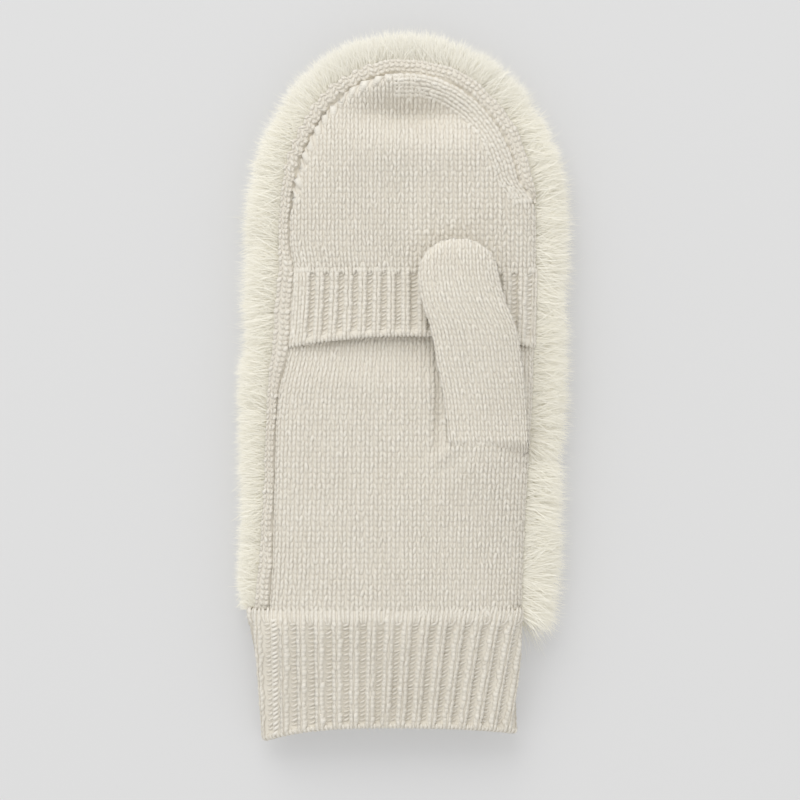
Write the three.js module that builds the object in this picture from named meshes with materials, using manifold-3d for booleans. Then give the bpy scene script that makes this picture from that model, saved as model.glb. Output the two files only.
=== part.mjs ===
// Knitted convertible mitten with a fur back, lying on its fur with the palm side up.
// Millimetres, +Z up, +Y towards the fingertips, +X towards the thumb side.
import * as THREE from 'three';
import { mergeVertices } from 'three/addons/utils/BufferGeometryUtils.js';
import Module from 'manifold-3d';

const wasm = await Module();
wasm.setup();

// Driving dimensions of the hand
const HAND_LENGTH = 217.5; // wrist line to the tip of the edge seam
const HAND_WIDTH = 102; // across the palm, laid flat
const HAND_CROWN = 9; // palm side above the side edges
const HAND_BELLY = 6; // back of the hand below the side edges
const ROUND_START = 0.7; // share of the hand's length where the tip begins to round
const ROUND_POWER = 2.15; // 2 would be an ellipse
const ARCH_POWER = 3; // how boxy the hand is across

// Driving dimensions of the cloth
const KNIT_WALL = 2.4;
const HIDE_WALL = 1.8; // skin that carries the fur
const RIB_RISE = 0.9; // how far a rib stands above its groove
const PIECE_GAP = 0.3;

// Cuff, hood and seam
const CUFF_LENGTH = 46.5;
const CUFF_THICKNESS = 16.4; // both walls and the space between them
const CUFF_TOP_HEIGHT = 20.4; // middle of the cuff above the surface, at the wrist
const CUFF_RIBS = 36;
const CUFF_TWIST = 4; // the ribs run this far towards the little finger at the hem
const HEM_DIP_LEFT = 5.5; // the hem's corners hang below its middle
const HEM_DIP_RIGHT = 2.4;
const HEM_DROOP = 1.9; // the hem's left corner sinks towards the surface
const HOOD_START = 104; // wrist line to the hood's hem at the side edges
const HOOD_HEM_ARCH = 4.6; // the hem's middle stands above its ends
const BAND_LENGTH = 29; // ribbed band of the hood
const BAND_RIBS = 17;
const HOOD_STEP = 4.4; // the palm's top edge lies this far inside the hood
const HOOD_STEP_RUN = 16; // length over which the palm goes down to it
const PALM_OVERLAP = 22; // how far the palm reaches up inside the hood
const SEAM_WIDTH = 4.8;
const SEAM_HEIGHT = 3.2;
const SEAM_END = 0.79; // share of the hand's length where the seam turns under on the thumb side
const SEAM_FADE = 0.06; // share of the hand's length over which it does so
const SEAM_TIP_SHARE = 0.35; // thickness left at the seam's end

// Thumb
const THUMB_BASE = 66; // wrist line to the crease where the thumb starts
const THUMB_LENGTH = 81;
const THUMB_WIDTH = 33.5;
const THUMB_HEIGHT = 12;
const THUMB_SIDE = 0.2; // its outer side lies this far inside the hand's edge, at the crease
const THUMB_LEAN = 12.3; // how far the tip has moved towards the middle line
const THUMB_ROUND = 14; // length of the rounded tip
const THUMB_ROUND_POWER = 2.2; // how square the rounded tip is
const THUMB_ROOT = 9; // length over which the thumb swells from its crease
const THUMB_ROOT_SHARE = 0.25; // of its height, at the crease
const THROAT_LENGTH = 14; // opening in the palm under the thumb's base
const THROAT_MARGIN = 1.6; // from that opening to the inside of the thumb's wall
const THUMB_STANDOFF = 0.5;
const THUMB_SHOULDER = 0.93; // share of the hand's half width past which the thumb bends no further

// Fur
const PILE_UNDER = 15; // depth of fur between the hide and the surface
const FUR_REACH = 14; // fur beyond the knitted edge
const LOCKS_AROUND = 28;
const LOCK_RADIUS = 7.4;
const CUSHION_SHARE = 0.55; // of the fur's reach, taken up by its dense inner mass
const CUSHION_SINK = 1.6; // pressed flat by the weight
const FUR_START = 1.5; // from the wrist line
const CUFF_CLEARANCE = 0.8; // between the fur and the cuff

// How boxy each tube is across: 1 is an ellipse, and less is squarer
const CUFF_SQUARE = 0.62;
const THUMB_SQUARE = 0.8;
const CUSHION_SQUARE = 0.7;
const CUSHION_SIDE_SQUARE = 0.8;

// Widths are shares of HAND_WIDTH, and lift, crown and fur are shares of EDGE_HEIGHT, HAND_CROWN
// and FUR_REACH.
const HAND_SECTIONS = [
  { at: 0.0, left: 0.58, right: 0.455, lift: 0.93, crown: 0.88, furLeft: 0.52, furRight: 1.12 },
  { at: 0.2, left: 0.546, right: 0.473, lift: 0.98, crown: 0.96, furLeft: 0.74, furRight: 1.1 },
  { at: 0.38, left: 0.531, right: 0.497, lift: 1.0, crown: 1.0, furLeft: 0.88, furRight: 1.02 },
  { at: 0.49, left: 0.511, right: 0.503, lift: 1.0, crown: 1.0, furLeft: 0.95, furRight: 1.0 },
  { at: 0.65, left: 0.486, right: 0.511, lift: 1.0, crown: 1.0, furLeft: 1.06, furRight: 1.0 },
  { at: 0.85, left: 0.486, right: 0.511, lift: 1.0, crown: 0.98, furLeft: 0.96, furRight: 0.96 },
  { at: 1.0, left: 0.486, right: 0.511, lift: 1.0, crown: 0.95, furLeft: 0.84, furRight: 0.84 },
];
// Along the cuff from the wrist to the hem; lift is a share of the height at the wrist.
const CUFF_SECTIONS = [
  { at: 0.0, left: 0.594, right: 0.462, lift: 1.0 },
  { at: 0.25, left: 0.586, right: 0.456, lift: 0.89 },
  { at: 0.55, left: 0.574, right: 0.45, lift: 0.72 },
  { at: 1.0, left: 0.557, right: 0.441, lift: 0.51 },
];
// Along the thumb from the crease to the tip; lean and width follow THUMB_LEAN and THUMB_WIDTH.
const THUMB_SECTIONS = [
  { at: 0.0, lean: 0.0, width: 0.98 },
  { at: 0.22, lean: 0.13, width: 0.99 },
  { at: 0.39, lean: 0.3, width: 1.02 },
  { at: 0.55, lean: 0.48, width: 1.03 },
  { at: 0.69, lean: 0.8, width: 1.0 },
  { at: 0.83, lean: 0.98, width: 0.96 },
  { at: 1.0, lean: 1.0, width: 0.9 },
];
// Dents in the hood: centre and size as shares of the hand's length and width, depth of HAND_CROWN.
const HOOD_DENTS = [
  { x: 0.0, y: 0.915, wide: 0.22, long: 0.026, depth: 0.3 },
  { x: 0.03, y: 0.86, wide: 0.3, long: 0.03, depth: -0.08 },
];

const KNIT = { color: 0xdad3c4, roughness: 0.95, metalness: 0 };
const FUR = { color: 0xece7d9, roughness: 0.9, metalness: 0 };

const EDGE_HEIGHT = PILE_UNDER + HAND_BELLY;
const ROUND_Y = ROUND_START * HAND_LENGTH;

function smoothstep(low, high, value) {
  const share = Math.min(1, Math.max(0, (value - low) / (high - low)));
  return share * share * (3 - 2 * share);
}

function mix(from, to, share) {
  return from + (to - from) * share;
}

// A column of a table of sections as a smooth curve through its rows
function column(table, name, at) {
  const last = table.length - 1;
  const place = Math.min(table[last].at, Math.max(table[0].at, at));
  let row = 0;
  while (row < last - 1 && table[row + 1].at < place) row += 1;
  const slope = (k) => {
    const before = table[Math.max(0, k - 1)];
    const after = table[Math.min(last, k + 1)];
    return (after[name] - before[name]) / (after.at - before.at);
  };
  const a = table[row];
  const b = table[row + 1];
  const run = b.at - a.at;
  const u = (place - a.at) / run;
  const h = u * u * (3 - 2 * u);
  const leave = u * (1 - u) * (1 - u) * run * slope(row);
  const arrive = u * u * (u - 1) * run * slope(row + 1);
  return mix(a[name], b[name], h) + leave + arrive;
}

// Height of a sheet across the hand, 1 in the middle and 0 at its edges
function arch(across) {
  return Math.sqrt(Math.max(0, 1 - Math.abs(across) ** ARCH_POWER));
}

// Turns an even share of a curve's length into the curve's own parameter from 0 to 1
function evenShare(curve, samples = 400) {
  const lengths = [0];
  for (let k = 1; k <= samples; k += 1) {
    const a = curve((k - 1) / samples);
    const b = curve(k / samples);
    lengths.push(lengths[k - 1] + Math.hypot(b[0] - a[0], b[1] - a[1]));
  }
  return (share) => {
    const wanted = share * lengths[samples];
    let k = 1;
    while (k < samples && lengths[k] < wanted) k += 1;
    const part = (wanted - lengths[k - 1]) / (lengths[k] - lengths[k - 1] || 1);
    return (k - 1 + part) / samples;
  };
}

const evenAcross = evenShare((u) => {
  const across = Math.sin((u - 0.5) * Math.PI);
  return [(across * HAND_WIDTH) / 2, HAND_CROWN * arch(across)];
});

// Share of the way round a sheet, from -1 at the left edge to 1 at the right, as a place across it
function acrossAt(share) {
  return Math.sin((evenAcross((share + 1) / 2) - 0.5) * Math.PI);
}

function roundness(y, tip) {
  const run = Math.max(0, (y - ROUND_Y) / (tip - ROUND_Y));
  return Math.max(0, 1 - run ** ROUND_POWER) ** (1 / ROUND_POWER);
}

// How far the edge seam takes the sheet in, on either side
function seamInset(across, at) {
  const full = SEAM_WIDTH + PIECE_GAP;
  return across < 0 ? full : full * smoothstep(SEAM_END - SEAM_FADE, SEAM_END, at);
}

function dent(x, y) {
  let depth = 0;
  for (const d of HOOD_DENTS) {
    const u = (x - d.x * HAND_WIDTH) / (d.wide * HAND_WIDTH);
    const v = (y - d.y * HAND_LENGTH) / (d.long * HAND_LENGTH);
    depth += d.depth * HAND_CROWN * Math.exp(-u * u - v * v);
  }
  return depth;
}

function edgeHeight(y) {
  return EDGE_HEIGHT * column(HAND_SECTIONS, 'lift', y / HAND_LENGTH);
}

// A point of the palm side, inset below its outer surface
function palmSide(y, across, inset) {
  const at = y / HAND_LENGTH;
  const tip = HAND_LENGTH - SEAM_WIDTH - PIECE_GAP - inset;
  const side = across < 0 ? 'left' : 'right';
  const reach = column(HAND_SECTIONS, side, at) * HAND_WIDTH - seamInset(across, at) - inset;
  const round = roundness(y, tip);
  const x = across * reach * round;
  const crown = HAND_CROWN * column(HAND_SECTIONS, 'crown', at) - inset;
  const noSeam = across > 0 ? 1 - smoothstep(SEAM_END - SEAM_FADE, SEAM_END, at) : 0;
  const wrap = (SEAM_HEIGHT / 2) * Math.abs(across) ** (2 * ARCH_POWER) * noSeam;
  const swell = arch(across) * Math.sqrt(round);
  return [x, y, edgeHeight(y) + (crown - dent(x, y)) * swell - wrap];
}

// A point of the back of the hand, inset above its outer surface
function backSide(y, across, inset, reachMore = 0, tipMore = 0) {
  const at = y / HAND_LENGTH;
  const tip = HAND_LENGTH + tipMore - inset;
  const side = across < 0 ? 'left' : 'right';
  const reach = column(HAND_SECTIONS, side, at) * HAND_WIDTH + reachMore - inset;
  const round = roundness(y, tip);
  const rim = edgeHeight(y) - SEAM_HEIGHT / 2 - PIECE_GAP;
  const belly = HAND_BELLY - SEAM_HEIGHT / 2 - PIECE_GAP - inset;
  return [across * reach * round, y, rim - belly * arch(across) * Math.sqrt(round)];
}

// Collects triangles and welds the points that coincide
class Surface {
  constructor() {
    this.points = [];
    this.triangles = [];
    this.found = new Map();
  }

  point(p) {
    const key = p.map((value) => Math.round(value * 1e4)).join(' ');
    if (!this.found.has(key)) {
      this.found.set(key, this.points.length);
      this.points.push(p);
    }
    return this.found.get(key);
  }

  triangle(a, b, c) {
    const ids = [this.point(a), this.point(b), this.point(c)];
    if (new Set(ids).size === 3) this.triangles.push(ids);
  }

  quad(a, b, c, d) {
    this.triangle(a, b, c);
    this.triangle(a, c, d);
  }

  // Quads over a grid of points; front is true where rows, columns and the outside are right-handed
  grid(rows, front = true) {
    for (let i = 0; i + 1 < rows.length; i += 1) {
      for (let j = 0; j + 1 < rows[i].length; j += 1) {
        const corner = [rows[i][j], rows[i][j + 1], rows[i + 1][j + 1], rows[i + 1][j]];
        if (front) this.quad(...corner);
        else this.quad(...corner.reverse());
      }
    }
  }

  geometry() {
    const made = new THREE.BufferGeometry();
    made.setAttribute('position', new THREE.Float32BufferAttribute(this.points.flat(), 3));
    made.setIndex(this.triangles.flat());
    return made;
  }
}

function makeGrid(rows, columns, pointAt) {
  const grid = [];
  for (let i = 0; i <= rows; i += 1) {
    const line = [];
    for (let j = 0; j <= columns; j += 1) line.push(pointAt(i, j));
    grid.push(line);
  }
  return grid;
}

// A wall between two grids that share their rows and columns, closed round all four sides
function wall(outer, inner) {
  const made = new Surface();
  made.grid(outer, true);
  made.grid(inner, false);
  const rims = [
    [outer[0], inner[0], false],
    [outer.at(-1), inner.at(-1), true],
    [outer.map((line) => line[0]), inner.map((line) => line[0]), true],
    [outer.map((line) => line.at(-1)), inner.map((line) => line.at(-1)), false],
  ];
  for (const [a, b, front] of rims) made.grid([a, b], front);
  return made.geometry();
}

// A tube wall between two grids whose columns close on themselves
function tubeWall(outer, inner) {
  const made = new Surface();
  made.grid(outer, true);
  made.grid(inner, false);
  made.grid([outer[0], inner[0]], false);
  made.grid([outer.at(-1), inner.at(-1)], true);
  return made.geometry();
}

// A closed body from rings whose columns close on themselves, with a flat end on either side
function closedRings(rings) {
  const made = new Surface();
  made.grid(rings, true);
  for (const [ring, front] of [[rings[0], false], [rings.at(-1), true]]) {
    for (let j = 1; j + 2 < ring.length; j += 1) {
      if (front) made.triangle(ring[0], ring[j], ring[j + 1]);
      else made.triangle(ring[0], ring[j + 1], ring[j]);
    }
  }
  return made.geometry();
}

function toManifold(geometry) {
  const bare = geometry.clone();
  for (const name of ['normal', 'uv']) if (bare.hasAttribute(name)) bare.deleteAttribute(name);
  const merged = mergeVertices(bare, 1e-4);
  const mesh = new wasm.Mesh({
    numProp: 3,
    vertProperties: new Float32Array(merged.attributes.position.array),
    triVerts: new Uint32Array(merged.index.array),
  });
  return new wasm.Manifold(mesh);
}

function fromManifold(solid) {
  const mesh = solid.getMesh();
  const made = new THREE.BufferGeometry();
  made.setAttribute('position', new THREE.Float32BufferAttribute(mesh.vertProperties, 3));
  made.setIndex(Array.from(mesh.triVerts));
  return made;
}

function block(x0, x1, y0, y1, z0, z1) {
  const made = new THREE.BoxGeometry(x1 - x0, y1 - y0, z1 - z0);
  made.translate((x0 + x1) / 2, (y0 + y1) / 2, (z0 + z1) / 2);
  return toManifold(made);
}

// Rows from a start line to the tip, close together where the outline rounds
function rowsToTip(start, tip, bodyRows, tipRows) {
  const rows = [];
  const from = Math.max(start, ROUND_Y);
  if (start < ROUND_Y) {
    for (let k = 0; k < bodyRows; k += 1) rows.push(mix(start, ROUND_Y, k / bodyRows));
  }
  for (let k = 0; k <= tipRows; k += 1) {
    const share = Math.sin((k / tipRows) * (Math.PI / 2));
    rows.push(mix(from, tip, share));
  }
  return rows;
}

// Hood over the fingertips, without its band
function hoodPanel() {
  const start = HOOD_START + BAND_LENGTH + PIECE_GAP;
  const tip = HAND_LENGTH - SEAM_WIDTH - PIECE_GAP;
  const columns = 18;
  const sheet = (inset) => {
    const rows = rowsToTip(start, tip - inset, 2, 10);
    const pointAt = (i, j) => palmSide(rows[i], acrossAt((2 * j) / columns - 1), inset);
    return makeGrid(rows.length - 1, columns, pointAt);
  };
  return wall(sheet(0), sheet(KNIT_WALL));
}

// Four corners of each rib as shares of its pitch, with the height of each
const RIB_CORNERS = [
  { along: 0.04, rise: 0 },
  { along: 0.18, rise: 1 },
  { along: 0.5, rise: 1 },
  { along: 0.64, rise: 0 },
];

function ribStops(count) {
  const stops = [];
  for (let k = 0; k < count; k += 1) {
    for (const { along, rise } of RIB_CORNERS) stops.push({ share: (k + along) / count, rise });
  }
  return stops;
}

// Ribbed hem of the hood
function hoodBand() {
  const stops = [{ share: 0, rise: 0 }, ...ribStops(BAND_RIBS), { share: 1, rise: 0 }];
  const rows = 3;
  const sheet = (inset, ribbed) => makeGrid(rows, stops.length - 1, (i, j) => {
    const across = acrossAt(stops[j].share * 2 - 1);
    const hem = HOOD_START + HOOD_HEM_ARCH * (1 - across ** 2);
    const y = mix(hem, HOOD_START + BAND_LENGTH, i / rows);
    return palmSide(y, across, inset - (ribbed ? RIB_RISE * stops[j].rise : 0));
  });
  return wall(sheet(RIB_RISE / 2, true), sheet(KNIT_WALL + RIB_RISE / 2, false));
}

// How far the palm lies inside the hood
function palmStep(y) {
  return HOOD_STEP * smoothstep(HOOD_START - HOOD_STEP_RUN, HOOD_START, y);
}

function palmPanel() {
  const end = HOOD_START + PALM_OVERLAP;
  const rows = 9;
  const columns = 18;
  const sheet = (inset) => makeGrid(rows, columns, (i, j) => {
    const y = (end * i) / rows;
    return palmSide(y, acrossAt((2 * j) / columns - 1), inset + palmStep(y));
  });
  return wall(sheet(0), sheet(KNIT_WALL));
}

// Outline of the knitted hand, from the left of the wrist round the tip to a place on the right
function outlineStations(inset, rightEnd, bodyRows, tipRows) {
  const rows = rowsToTip(0, HAND_LENGTH - inset, bodyRows, tipRows);
  const left = rows.map((y) => ({ y, across: -1 }));
  const right = rows.slice(0, -1).filter((y) => y >= rightEnd).map((y) => ({ y, across: 1 }));
  return [...left, ...right.reverse()];
}

function outlinePoint(station, inset) {
  const [x] = backSide(station.y, station.across, inset);
  return new THREE.Vector3(x, station.y, edgeHeight(station.y));
}

// Rolled seam along the little finger side and round the fingertips
function edgeSeam() {
  const stations = outlineStations(SEAM_WIDTH / 2, SEAM_END * HAND_LENGTH, 7, 12);
  const path = stations.map((s) => outlinePoint(s, SEAM_WIDTH / 2));
  const sides = 8;
  const rings = path.map((p, i) => {
    const ahead = path[Math.min(path.length - 1, i + 1)].clone().sub(path[Math.max(0, i - 1)]).normalize();
    const outward = new THREE.Vector3(-ahead.y, ahead.x, 0).normalize();
    const taper = mix(SEAM_TIP_SHARE, 1, Math.min(1, (path.length - 1 - i) / 2));
    const ring = [];
    for (let k = 0; k <= sides; k += 1) {
      const turn = ((k % sides) / sides) * 2 * Math.PI;
      const side = Math.cos(turn) * (SEAM_WIDTH / 2) * taper;
      const up = Math.sin(turn) * (SEAM_HEIGHT / 2) * taper;
      ring.push([p.x + outward.x * side, p.y + outward.y * side, p.z + up]);
    }
    return ring;
  });
  return closedRings(rings);
}

// One point of the cuff; along runs from the wrist to the hem and turn goes once round
function cuffPoint(along, turn, inset) {
  const left = -column(CUFF_SECTIONS, 'left', along) * HAND_WIDTH;
  const right = column(CUFF_SECTIONS, 'right', along) * HAND_WIDTH;
  const half = (right - left) / 2 - inset;
  const high = CUFF_THICKNESS / 2 - inset;
  const c = Math.cos(turn);
  const s = Math.sin(turn);
  const across = Math.sign(c) * Math.abs(c) ** CUFF_SQUARE;
  const x = (left + right) / 2 + across * half;
  const dip = (across < 0 ? HEM_DIP_LEFT : HEM_DIP_RIGHT) * Math.abs(across) ** 3;
  const droop = across < 0 ? HEM_DROOP * across ** 4 * along ** 2 : 0;
  const lift = CUFF_TOP_HEIGHT * column(CUFF_SECTIONS, 'lift', along) - droop;
  const clear = Math.max(lift, CUFF_THICKNESS / 2);
  return [x, -PIECE_GAP - along * (CUFF_LENGTH + dip * along), clear + s * high];
}

// Even shares of the way round the cuff, taken half way along it
const evenTurn = evenShare((u) => {
  const [x, , z] = cuffPoint(0.5, u * 2 * Math.PI, 0);
  return [x, z];
});

function cuff() {
  const stops = ribStops(CUFF_RIBS);
  const around = 2 * (HAND_WIDTH + CUFF_THICKNESS);
  const rows = 3;
  const sheet = (inset, ribbed) => makeGrid(rows, stops.length, (i, j) => {
    const stop = stops[j % stops.length];
    const twist = (CUFF_TWIST / around) * (i / rows);
    const turn = evenTurn((stop.share + twist + 1) % 1) * 2 * Math.PI;
    return cuffPoint(i / rows, turn, inset + (ribbed ? RIB_RISE * (1 - stop.rise) : 0));
  });
  return tubeWall(sheet(0, true), sheet(KNIT_WALL + RIB_RISE, false));
}

// Middle of the thumb's tube, across the hand, at a share of its length
function thumbMiddle(at) {
  const handEdge = column(HAND_SECTIONS, 'right', THUMB_BASE / HAND_LENGTH) * HAND_WIDTH;
  const half = (THUMB_WIDTH * column(THUMB_SECTIONS, 'width', 0)) / 2;
  return handEdge - THUMB_SIDE - half - THUMB_LEAN * column(THUMB_SECTIONS, 'lean', at);
}

// Outer surface of the hand's palm side, which the thumb lies on
function handTop(x, y) {
  const at = y / HAND_LENGTH;
  const reach = column(HAND_SECTIONS, x < 0 ? 'left' : 'right', at) * HAND_WIDTH;
  const across = Math.min(THUMB_SHOULDER, Math.abs(x) / reach);
  return edgeHeight(y) + HAND_CROWN * column(HAND_SECTIONS, 'crown', at) * arch(across);
}

// A ring round the thumb; inset is measured from its outer surface
function thumbRing(at, inset, sides) {
  const length = THUMB_LENGTH - 2 * inset;
  const y = THUMB_BASE + inset + length * at;
  const share = (y - THUMB_BASE) / THUMB_LENGTH;
  const tipStart = THUMB_BASE + THUMB_LENGTH - inset - THUMB_ROUND;
  const tipRun = Math.max(0, (y - tipStart) / THUMB_ROUND);
  const round = Math.max(0, 1 - tipRun ** THUMB_ROUND_POWER) ** (1 / THUMB_ROUND_POWER);
  const wide = (THUMB_WIDTH * column(THUMB_SECTIONS, 'width', share)) / 2 - inset;
  const high = THUMB_HEIGHT - 2 * inset;
  const fromRoot = Math.min(1, (y - THUMB_BASE - inset) / THUMB_ROOT);
  const grow = mix(THUMB_ROOT_SHARE, 1, Math.sin(fromRoot * (Math.PI / 2)));
  const middle = thumbMiddle(share);
  const ring = [];
  for (let k = 0; k <= sides; k += 1) {
    const turn = ((k % sides) / sides) * 2 * Math.PI;
    const c = Math.cos(turn);
    const s = Math.sin(turn);
    const x = middle + Math.sign(c) * Math.abs(c) ** THUMB_SQUARE * wide * round;
    const floor = handTop(x, y) + THUMB_STANDOFF + inset;
    const swell = (0.5 + 0.5 * s) * grow * Math.sqrt(round) + 0.5 * (1 - Math.sqrt(round));
    ring.push([x, y, floor + high * swell]);
  }
  return ring;
}

// The thumb's outer form, or its hollow, where drop moves it down
function thumbBody(inset, drop = 0) {
  const sides = 18;
  const rings = 13;
  const lastAt = 0.999;
  const made = [];
  for (let k = 0; k < rings; k += 1) {
    const at = (lastAt * (1 - Math.cos((k * Math.PI) / (rings - 1)))) / 2;
    made.push(thumbRing(at, inset, sides).reverse());
  }
  const body = closedRings(made);
  body.translate(0, 0, -drop);
  return toManifold(body);
}

// Upright opening that joins the hand's space to the thumb's
function throat(grow) {
  const middle = thumbMiddle(0);
  const half = THUMB_WIDTH / 2 - KNIT_WALL - THROAT_MARGIN + grow;
  const from = THUMB_BASE + KNIT_WALL + THROAT_MARGIN - grow;
  const top = EDGE_HEIGHT + HAND_CROWN + THUMB_STANDOFF + THUMB_HEIGHT / 2;
  return block(middle - half, middle + half, from, from + THROAT_LENGTH + 2 * grow, EDGE_HEIGHT / 2, top);
}

function thumb() {
  const hollow = thumbBody(KNIT_WALL);
  const wayOut = thumbBody(KNIT_WALL, KNIT_WALL * 1.5).intersect(throat(0));
  return thumbBody(0).subtract(hollow).subtract(wayOut);
}

// A grid over the back of the hand at one depth in the hide
function backGrid(inset) {
  const columns = 14;
  const rows = rowsToTip(0, HAND_LENGTH - inset, 5, 8);
  const pointAt = (i, j) => backSide(rows[i], acrossAt((2 * j) / columns - 1), inset);
  return makeGrid(rows.length - 1, columns, pointAt);
}

// Everything above the middle of the hide, which the fur stays out of
function handSpace() {
  const bottom = backGrid(HIDE_WALL / 2);
  bottom.unshift(bottom[0].map(([x, y, z]) => [x, y - FUR_REACH, z]));
  const top = bottom.map((line) => line.map(([x, y]) => [x, y, EDGE_HEIGHT * 2]));
  return toManifold(wall(top, bottom));
}

function hidePanel() {
  return toManifold(wall(backGrid(HIDE_WALL), backGrid(0)));
}

function furReach(y, across) {
  return FUR_REACH * column(HAND_SECTIONS, across < 0 ? 'furLeft' : 'furRight', y / HAND_LENGTH);
}

// Dense inner mass of the fur, a rounded cushion that is flat where it rests
function furCushion() {
  const sides = 16;
  const tipReach = furReach(HAND_LENGTH, 1) * CUSHION_SHARE;
  const rows = rowsToTip(FUR_START, HAND_LENGTH + tipReach, 6, 8);
  const rings = rows.slice(0, -1).map((y) => {
    const top = edgeHeight(y) - SEAM_HEIGHT / 2 - 2 * PIECE_GAP;
    const ring = [];
    for (let k = 0; k <= sides; k += 1) {
      const turn = ((k % sides) / sides) * 2 * Math.PI;
      const c = Math.cos(turn);
      const s = Math.sin(turn);
      const across = Math.sign(c) * Math.abs(c) ** CUSHION_SQUARE;
      const side = across < 0 ? -1 : 1;
      const [x] = backSide(y, side, 0, furReach(y, side) * CUSHION_SHARE, tipReach);
      const round = Math.sqrt(roundness(y, HAND_LENGTH + tipReach));
      const shape = Math.sign(s) * Math.abs(s) ** CUSHION_SIDE_SQUARE * round;
      ring.push([x * Math.abs(across), y, mix(-CUSHION_SINK, top, 0.5 + 0.5 * shape)]);
    }
    return ring;
  });
  return toManifold(closedRings(rings.map((ring) => ring.reverse())));
}

// A repeatable wobble between -1 and 1
function wobble(seed) {
  const value = Math.sin(seed * 12.9898) * 43758.5453;
  return 2 * (value - Math.floor(value)) - 1;
}

// One tapered lock of fur through three places, each with a radius
function lock(places) {
  const sides = 5;
  const axis = places[2].at.clone().sub(places[0].at).normalize();
  const aside = new THREE.Vector3(-axis.y, axis.x, 0).normalize();
  const above = new THREE.Vector3().crossVectors(axis, aside);
  const rings = places.map(({ at, radius }) => {
    const ring = [];
    for (let k = 0; k <= sides; k += 1) {
      const turn = ((k % sides) / sides) * 2 * Math.PI;
      const p = at.clone().addScaledVector(aside, Math.cos(turn) * radius);
      ring.push(p.addScaledVector(above, Math.sin(turn) * radius * 0.8).toArray());
    }
    return ring;
  });
  return toManifold(closedRings(rings));
}

// Rows of locks round the edge. Depths are shares of the way down from the edge to the surface,
// and reach is a share of the fur's own reach.
const LOCK_ROWS = [
  { shift: 0.0, base: 0.42, middle: 0.34, tip: 0.2, reach: 1.0 },
  { shift: 0.5, base: 0.66, middle: 0.66, tip: 0.6, reach: 0.9 },
];
const LOCK_PLACES = [
  { out: 0.2, radius: 1 },
  { out: 0.7, radius: 0.92 },
  { out: 1, radius: 0.42 },
];

function furLocks() {
  const stations = outlineStations(0, 0, 14, 14);
  const curve = new THREE.CatmullRomCurve3(stations.map((s) => outlinePoint(s, 0)));
  const locks = [];
  LOCK_ROWS.forEach((row, r) => {
    for (let k = 0; k < LOCKS_AROUND; k += 1) {
      const share = (k + 0.5 + row.shift) / (LOCKS_AROUND + 0.5);
      const foot = curve.getPointAt(share);
      const ahead = curve.getTangentAt(share);
      const seed = k + r * LOCKS_AROUND;
      const out = new THREE.Vector3(-ahead.y, ahead.x, 0).normalize();
      const sway = out.clone().addScaledVector(ahead, wobble(seed) * 0.25);
      const reach = furReach(foot.y, foot.x) * row.reach * (1 + 0.1 * wobble(seed + 0.5));
      const depths = [row.base, row.middle, row.tip];
      locks.push(lock(LOCK_PLACES.map((place, i) => {
        const at = foot.clone().addScaledVector(i === 2 ? sway : out, reach * place.out - LOCK_RADIUS * 0.2);
        at.z = foot.z * (1 - depths[i] - 0.04 * wobble(seed + 0.25));
        return { at, radius: LOCK_RADIUS * place.radius };
      })));
    }
  });
  return locks;
}

function furBack() {
  const bulk = wasm.Manifold.union([furCushion(), ...furLocks()]);
  const wide = HAND_WIDTH * 2;
  const aboveSurface = block(-wide, wide, CUFF_CLEARANCE, HAND_LENGTH * 2, 0, EDGE_HEIGHT * 2);
  const outside = bulk.intersect(aboveSurface).subtract(handSpace());
  return outside.add(hidePanel());
}

function piece(name, geometry, look) {
  const made = new THREE.Mesh(geometry, new THREE.MeshStandardMaterial(look));
  made.name = name;
  return made;
}

const palm = toManifold(palmPanel()).subtract(throat(PIECE_GAP));

const mitten = new THREE.Group();
mitten.add(
  piece('cuff', cuff(), KNIT),
  piece('palm', fromManifold(palm), KNIT),
  piece('hood', hoodPanel(), KNIT),
  piece('hood_band', hoodBand(), KNIT),
  piece('thumb', fromManifold(thumb()), KNIT),
  piece('edge_seam', edgeSeam(), KNIT),
  piece('fur_back', fromManifold(furBack()), FUR),
);

// The origin is under the middle of the whole mitten
const box = new THREE.Box3().setFromObject(mitten);
const middle = box.getCenter(new THREE.Vector3());
for (const mesh of mitten.children) mesh.position.set(-middle.x, -middle.y, -box.min.z);

export default mitten;
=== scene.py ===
"""A knitted convertible mitten with a fur back, lying on its fur with the palm up.

Lengths are millimetres until a mesh is made. In them the origin is under the middle line of the
hand, at the wrist line, on the surface that the mitten lies on.
"""

import math

import bpy
import numpy as np
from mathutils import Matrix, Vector


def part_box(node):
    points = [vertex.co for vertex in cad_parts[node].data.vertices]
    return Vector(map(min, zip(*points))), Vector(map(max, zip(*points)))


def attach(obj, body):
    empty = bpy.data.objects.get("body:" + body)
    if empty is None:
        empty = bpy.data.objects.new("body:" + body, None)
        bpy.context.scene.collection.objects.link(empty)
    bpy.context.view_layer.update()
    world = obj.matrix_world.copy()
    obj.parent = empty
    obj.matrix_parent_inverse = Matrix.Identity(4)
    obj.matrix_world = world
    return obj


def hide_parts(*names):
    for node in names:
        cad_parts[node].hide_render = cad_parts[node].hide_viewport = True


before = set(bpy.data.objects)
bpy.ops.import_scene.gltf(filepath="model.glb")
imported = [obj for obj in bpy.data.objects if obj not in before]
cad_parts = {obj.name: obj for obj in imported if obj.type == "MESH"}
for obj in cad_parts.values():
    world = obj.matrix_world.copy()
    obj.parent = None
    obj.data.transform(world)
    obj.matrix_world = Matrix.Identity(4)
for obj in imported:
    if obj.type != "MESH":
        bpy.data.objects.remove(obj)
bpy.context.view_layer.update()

MM = 0.001

# Where the millimetre origin lies in the frame
PALM_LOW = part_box("palm")[0]
WRIST_Y = PALM_LOW[1]
SEAM_TIP_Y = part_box("edge_seam")[1][1]
ORIGIN = np.array([0.0, WRIST_Y, 0.0])

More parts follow.
